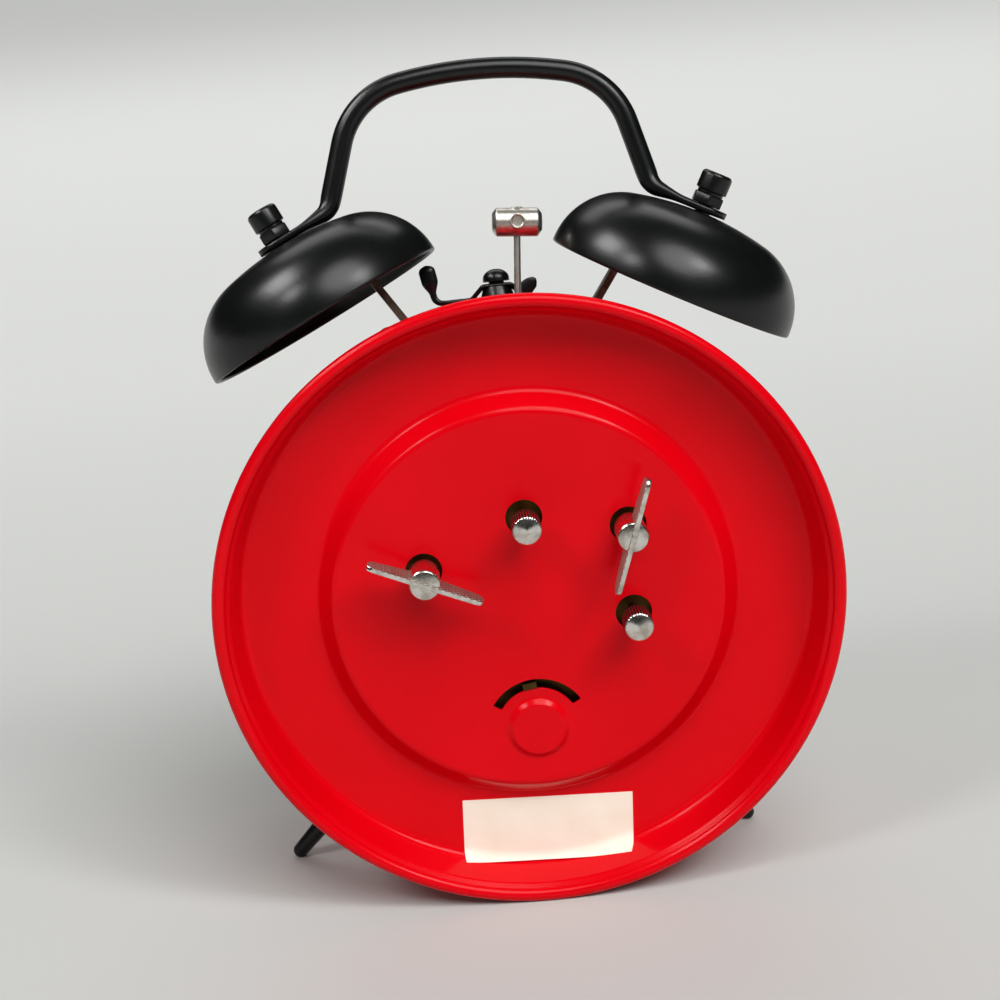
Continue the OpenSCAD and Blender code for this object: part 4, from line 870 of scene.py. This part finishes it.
def makeStopLever():
    lever = {"angle": 0.9, "depth": 28.4, "armZ": 2.25, "topZ": 4.55, "sheet": 0.45, "foot": 5.0,
             "top": 2.7, "bridgeW": 2.3, "narrowing": 2.2, "armW": 1.0, "arm": 11.9, "postR": 1.55,
             "step": 0.35}
    finger = {"rise": 7.3, "out": 1.3, "root": 2.0, "neckT": 0.2, "neckW": -0.25, "swellAt": 1.6,
              "swellRun": 2.6, "swellT": 0.95, "swellW": 0.45, "tip": 1.2}
    screw = {"z": 5.35, "r": 2.55, "dome": 2.4, "rim": 0.45, "stemR": 1.5, "stem": 1.9}
    t, armZ, topZ, post = lever["sheet"], lever["armZ"], lever["topZ"], lever["postR"]
    fingerStart = lever["arm"] - finger["root"]
    line = filleted([(-lever["foot"] - 0.2, armZ), (-lever["foot"] + 0.4, armZ, 0.5),
                     (-lever["top"], topZ, 0.9), (lever["top"], topZ, 0.9), (lever["foot"], armZ, 1.2),
                     (lever["arm"], armZ - 0.1, 1.7),
                     (lever["arm"] + finger["out"], armZ + finger["rise"])], 8)
    stations = []
    for p in subdivided(line, lever["step"]):
        rise = p.y - armZ
        if p.x < fingerStart:
            narrow = eased(abs(p.x), lever["top"], lever["top"] + lever["narrowing"])
            thick, wide = t, lever["bridgeW"] + (lever["armW"] - lever["bridgeW"]) * narrow
        else:
            swell = eased(rise, finger["swellAt"], finger["swellAt"] + finger["swellRun"])
            neck = min(max((p.x - fingerStart) / finger["root"], 0), 1)
            thick = t + finger["neckT"] * neck + finger["swellT"] * swell
            wide = lever["armW"] + finger["neckW"] * neck + finger["swellW"] * swell
            left = max(0.0, finger["rise"] - rise)
            if left < finger["tip"]:
                cap = math.sqrt(max(0.03, 1 - (1 - left / finger["tip"]) ** 2))
                thick, wide = thick * cap, wide * cap
        stations.append((p.x, p.y, thick, wide))
    body = loft("stopLever", barRings(stations, 24, 0.7))
    hub = lathe("leverHub", filleted(
        [(post, 0.35), (3.9, 0.35, 0.3), (2.6, topZ - 0.2, 0.1), (post, topZ - 0.1), (post, 0.35)], 4), 48)
    fin = loft("leverFin", barRings(
        [(-3.6, 2.9, 0.9, 0.42), (-4.8, 3.3, 1.25, 0.42), (-5.9, 3.8, 1.45, 0.4), (-6.7, 4.5, 1.25, 0.38),
         (-7.15, 5.1, 0.75, 0.35), (-7.35, 5.4, 0.3, 0.25)], 20, 0.6))
    for piece in (body, hub, fin):
        place(piece, onCase(lever["angle"], lever["depth"]))
    done(join(body, hub, fin), black, "stop_lever", "black_lacquer", "stop_lever", angle=50)
    z, r, rim, stemR = screw["z"], screw["r"], screw["rim"], screw["stemR"]
    profile = [(0, -screw["stem"]), (stemR, -screw["stem"]), (stemR, z), (r, z), (r, z + rim)]
    for degrees in range(8, 91, 8):
        a = math.radians(degrees)
        profile.append((r * math.cos(a), z + rim + (screw["dome"] - rim) * math.sin(a)))
    piece = lathe("leverScrew", profile + [(0, z + screw["dome"])], 64)
    place(piece, onCase(lever["angle"], lever["depth"]))
    done(piece, black, "clock", "black_lacquer", "stop_lever_screw", angle=50)


def makeLegs():
    leg = {"angle": 38.5, "round": 2.0, "depth": 27.0, "r": 2.2, "tipR": 1.5, "flat": 0.2, "stubR": 1.25,
           "stub": 3.6, "gap": 0.05, "edge": 0.2}
    for side, name, nodeName in ((-1, "legLeft", "leg_left"), (1, "legRight", "leg_right")):
        angle = leg["angle"] + side * leg["round"]
        c = math.cos(math.radians(angle))
        length = ((clock["rimR"] - leg["tipR"] + leg["flat"] - wallOut(leg["depth"]) * c) / c
                  / math.cos(math.radians(clock["taper"])))
        profile = [(0, -leg["stub"]), (leg["stubR"], -leg["stub"]), (leg["stubR"], leg["gap"]),
                   (leg["r"] - leg["edge"], leg["gap"]), (leg["r"], leg["gap"] + leg["edge"])]
        profile += arc(0, length, leg["tipR"], 2, 90, 12)
        piece = lathe(name, profile, 64)
        place(piece, onCase(side * (180 - angle), leg["depth"]))
        # the tip is cut flat on the floor
        pick(piece)
        bpy.ops.object.mode_set(mode="EDIT")
        bpy.ops.mesh.select_all(action="SELECT")
        bpy.ops.mesh.bisect(plane_co=(0, 0, 0), plane_no=(0, 0, 1), use_fill=True, clear_inner=True,
                            threshold=1e-6)
        bpy.ops.object.mode_set(mode="OBJECT")
        done(piece, black, "clock", "black_lacquer", nodeName, angle=50)


makeHammer()
makeStopLever()
makeLegs()
print("hammer, stop lever and legs made")


# Keys and knobs


def makeKey(name, spot, turned, body, nodeName):
    key = {"hubR": 2.9, "hubLen": 8.2, "dome": 0.6, "boreR": 1.6, "bore": 1.0, "span": 22.4, "root": 6.6,
           "tip": 4.2, "proud": 0.2, "thick": 0.6, "thinner": 0.15, "corner": 1.6, "rearCorner": 0.55,
           "steps": 52, "sides": 20, "squareness": 0.35}
    r, end, floorZ = key["hubR"], key["hubLen"], key["hubLen"] - key["bore"]
    hub = lathe(name, filleted(
        [(0, 0), (r - 0.25, key["dome"], 0.3), (r, key["dome"] + 0.3, 0.2), (r, end, 0.3),
         (key["boreR"], end), (key["boreR"], floorZ), (0, floorZ)], 6), 72)
    rings = []
    half = key["span"] / 2
    for i in range(key["steps"] + 1):
        u = half * (2 * i / key["steps"] - 1)
        front = key["root"] + (key["tip"] - key["root"]) * abs(u) / half
        rear = -key["proud"]
        left = half - abs(u)
        if left < key["corner"]:
            pull = key["corner"] - math.sqrt(max(0.0, key["corner"] ** 2 - (key["corner"] - left) ** 2))
            front -= pull
            rear += key["rearCorner"] * pull
        thin = 1 - key["thinner"] * abs(u) / half
        rings.append([(u, q * key["thick"] * thin, (front + rear) / 2 + p * (front - rear) / 2)
                      for p, q in section(key["sides"], key["squareness"])])
    wings = loft("keyWings", rings)
    hub.data.materials.append(nickel)
    wings.data.materials.append(nickel)
    wings.data.materials.append(nickelPlate("hatched" + name, turned, 0.38, 0.55))
    for face in wings.data.polygons:
        face.material_index = 1 if abs(face.normal.y) > 0.8 else 0
    place(wings, turn("Z", turned) @ Matrix.Scale(1 / millimetre, 4))
    piece = join(hub, wings)
    place(piece, at(spot, clock["keyTipZ"]))
    return done(piece, None, body, "nickel_plate", nodeName)


def makeKnob(name, spot, body, nodeName):
    knob = {"r": 2.75, "len": 6.5, "teeth": 32, "tooth": 0.3, "pole": 0.12}
    r, end = knob["r"], knob["len"]
    pattern = (0, 1, 1, 0)  # one tooth of the knurl: groove, ridge, ridge, groove
    count = knob["teeth"] * len(pattern)
    # radius, depth along the knob and share of the knurl
    stations = [(knob["pole"], 0.02, 0), (1.2, 0.26, 0), (2.0, 0.46, 0), (r - 0.3, 0.6, 0),
                (r - 0.1, 0.72, 0.4), (r, 1.0, 1), (r, end - 0.6, 1), (r - 0.12, end - 0.25, 0.4),
                (r - 0.4, end, 0), (1.0, end, 0), (knob["pole"], end, 0)]
    rings = []
    for outer, z, depth in stations:
        ring = []
        for k in range(count):
            a = 2 * math.pi * k / count
            reach = outer - knob["tooth"] * depth * (1 - pattern[k % len(pattern)])
            ring.append((reach * math.cos(a), reach * math.sin(a), z))
        rings.append(ring)
    piece = loft(name, rings)
    piece.data.materials.append(nickel)
    piece.data.materials.append(flute)
    # the faces deep in the knurl grooves take the painted groove shade
    for face in piece.data.polygons:
        side = math.hypot(face.center.x, face.center.y)
        face.material_index = 1 if abs(face.normal.z) < 0.3 and side < r - knob["tooth"] / 2 else 0
    place(piece, at(spot, clock["keyTipZ"]))
    return done(piece, None, body, "nickel_plate", nodeName, angle=28)


makeKey("timeWindingKey", clock["timeKey"], 23, "time_winding", "time_winding_key")
makeKey("alarmWindingKey", clock["alarmKey"], 108, "alarm_winding", "alarm_winding_key")
makeKnob("timeSettingKnob", clock["timeKnob"], "time_setting", "time_setting_knob")
makeKnob("alarmSettingKnob", clock["alarmKnob"], "alarm_setting", "alarm_setting_knob")
print("keys and knobs made")


# Dial print

dialPrint = {"thick": 0.02, "z": clock["dialZ"] + 0.04, "tickThick": 0.05, "boldWide": 2.2, "boldLong": 1.5}


def makeNumerals(name, centre, radius, height, labels):
    # upright figures, seen from the dial side
    made = []
    for text, angle in labels:
        alone()
        bpy.ops.object.text_add()
        piece = bpy.context.object
        piece.data.body = text
        piece.data.size = height
        piece.data.align_x = "CENTER"
        piece.data.align_y = "CENTER"
        piece.data.extrude = dialPrint["thick"]
        pick(piece)
        bpy.ops.object.convert(target="MESH")
        piece = bpy.context.object
        a = math.radians(angle)
        spot = (centre[0] + radius * math.sin(a), centre[1] + radius * math.cos(a))
        place(piece, at(spot, dialPrint["z"]))
        made.append(piece)
    piece = join(*made)
    piece.name = name
    return done(piece, ink, "clock", "black_hands")


def makeTicks(name, centre, radius, count, bold, length, width):
    made = []
    for i in range(count):
        alone()
        bpy.ops.mesh.primitive_cube_add(size=1)
        tick = bpy.context.object
        strong = i % bold == 0
        tick.scale = (width * (dialPrint["boldWide"] if strong else 1),
                      length * (dialPrint["boldLong"] if strong else 1), dialPrint["tickThick"])
        tick.location = (0, radius - tick.scale[1] / 2, 0)
        settle(tick)
        place(tick, at(centre, dialPrint["z"]) @ turn("Z", -360 * i / count))
        made.append(tick)
    piece = join(*made)
    piece.name = name
    return done(piece, ink, "clock", "black_hands")


makeNumerals("hourNumerals", (0, 0), 31.5, 8.5, [(str(hour), 30 * hour) for hour in range(1, 13)])
makeTicks("minuteTrack", (0, 0), 40.5, 60, 5, 2.2, 0.35)
makeNumerals("alarmNumerals", clock["alarmKnob"], 6.6, 2.2, [("3", 90), ("6", 180), ("9", 270), ("12", 0)])
makeTicks("alarmTrack", clock["alarmKnob"], 9.6, 24, 2, 0.9, 0.14)
print("dial printed")


# Floor, light and camera


def floorPaper():
    # seamless paper roll: matt pale grey, painted paler where it runs back as painted light, since the
    # lamps reach the far floor less
    m = newMaterial("paleGreyPaperRoll")
    spot = node(m, "ShaderNodeTexCoord")
    axes = node(m, "ShaderNodeSeparateXYZ", None, None, {"Vector": spot.outputs["Object"]})
    # painted light: the floor is coloured darker near the clock and paler further back
    back = node(m, "ShaderNodeMapRange", None, {"From Min": 3.9, "From Max": 0.8},
                {"Value": axes.outputs["Y"]})
    tint = node(m, "ShaderNodeValToRGB", None, None, {"Fac": back.outputs["Result"]})
    stops(tint, (0.0, "#C0C1BE"), (0.13, "#D0D1CE"), (1.0, "#E5E6E3"))
    shader = node(m, "ShaderNodeBsdfPrincipled", None, {"Roughness": 0.9, "Specular IOR Level": 0.1},
                  {"Base Color": tint.outputs["Color"]})
    return close(m, shader)


alone()
bpy.ops.mesh.primitive_plane_add(size=60, location=(0, -4, 0))
floor = bpy.context.object
floor.name = "floor"
floor.data.materials.append(floorPaper())

world = bpy.data.worlds.new("studio")
bpy.context.scene.world = world
world.use_nodes = True
# the room is dim where polished faces mirror it, and pale where it only gives soft light
ray = node(world, "ShaderNodeLightPath")
room = node(world, "ShaderNodeMix", {"data_type": "RGBA"}, {"A": colour("#F4F6F6"), "B": colour("#2E3134")},
            {"Factor": ray.outputs["Is Glossy Ray"]})
sky = world.node_tree.nodes["Background"]
world.node_tree.links.new(room.outputs["Result"], sky.inputs["Color"])
sky.inputs["Strength"].default_value = 0.18
# beyond the floor the camera sees a backdrop of the same paper
backdrop = node(world, "ShaderNodeBackground", None, {"Color": colour("#D6D8D5"), "Strength": 1.0})
seen = node(world, "ShaderNodeMixShader", None, None,
            {"Fac": ray.outputs["Is Camera Ray"], 1: sky.outputs["Background"],
             2: backdrop.outputs["Background"]})
world.node_tree.links.new(seen.outputs["Shader"], world.node_tree.nodes["World Output"].inputs["Surface"])


def softbox(name, spot, target, size, watts, diffuse=True):
    alone()
    bpy.ops.object.light_add(type="AREA", location=spot)
    lamp = bpy.context.object
    lamp.name = name
    lamp.data.shape = "RECTANGLE"
    lamp.data.size, lamp.data.size_y = size
    lamp.data.energy = watts
    lamp.rotation_euler = (Vector(target) - Vector(spot)).to_track_quat("-Z", "Y").to_euler()
    lamp.visible_diffuse = diffuse
    return lamp


softbox("leftBox", (0.95, 0.95, 1.3), (0, 0, 0.1), (0.4, 0.4), 8)
softbox("rightBox", (-0.95, 0.95, 1.3), (0, 0, 0.1), (0.4, 0.4), 8)
softbox("backBox", (0, -1.6, 1.7), (0, -1.1, 0), (2.4, 1.2), 15)
# a small pane of light that only shows in the gloss
softbox("topBox", (0.75, 0.1, 1.0), (0, 0, 0.1), (0.5, 0.4), 9, False)
alone()
bpy.ops.object.light_add(type="SUN", location=(0.3, 0.5, 1.5))
ceiling = bpy.context.object
ceiling.name = "ceilingLight"
ceiling.data.energy = 2.15
ceiling.data.angle = math.radians(40)
ceiling.rotation_euler = (Vector((0, 0, 0)) - Vector((-0.25, 0.6, 0.8))).to_track_quat("-Z", "Y").to_euler()

lens = {"place": (0.01825, 0.40944, 0.18547), "turn": (74.775, 4.151, 176.813), "focal": 79.2,
        "sensor": 36.0}
bpy.ops.object.camera_add(location=lens["place"], rotation=[math.radians(a) for a in lens["turn"]])
camera = bpy.context.object
camera.data.lens = lens["focal"]
camera.data.sensor_width = lens["sensor"]
camera.data.clip_start = 0.01
bpy.context.scene.camera = camera
bpy.context.scene.view_settings.view_transform = "Standard"

print("scene ready")
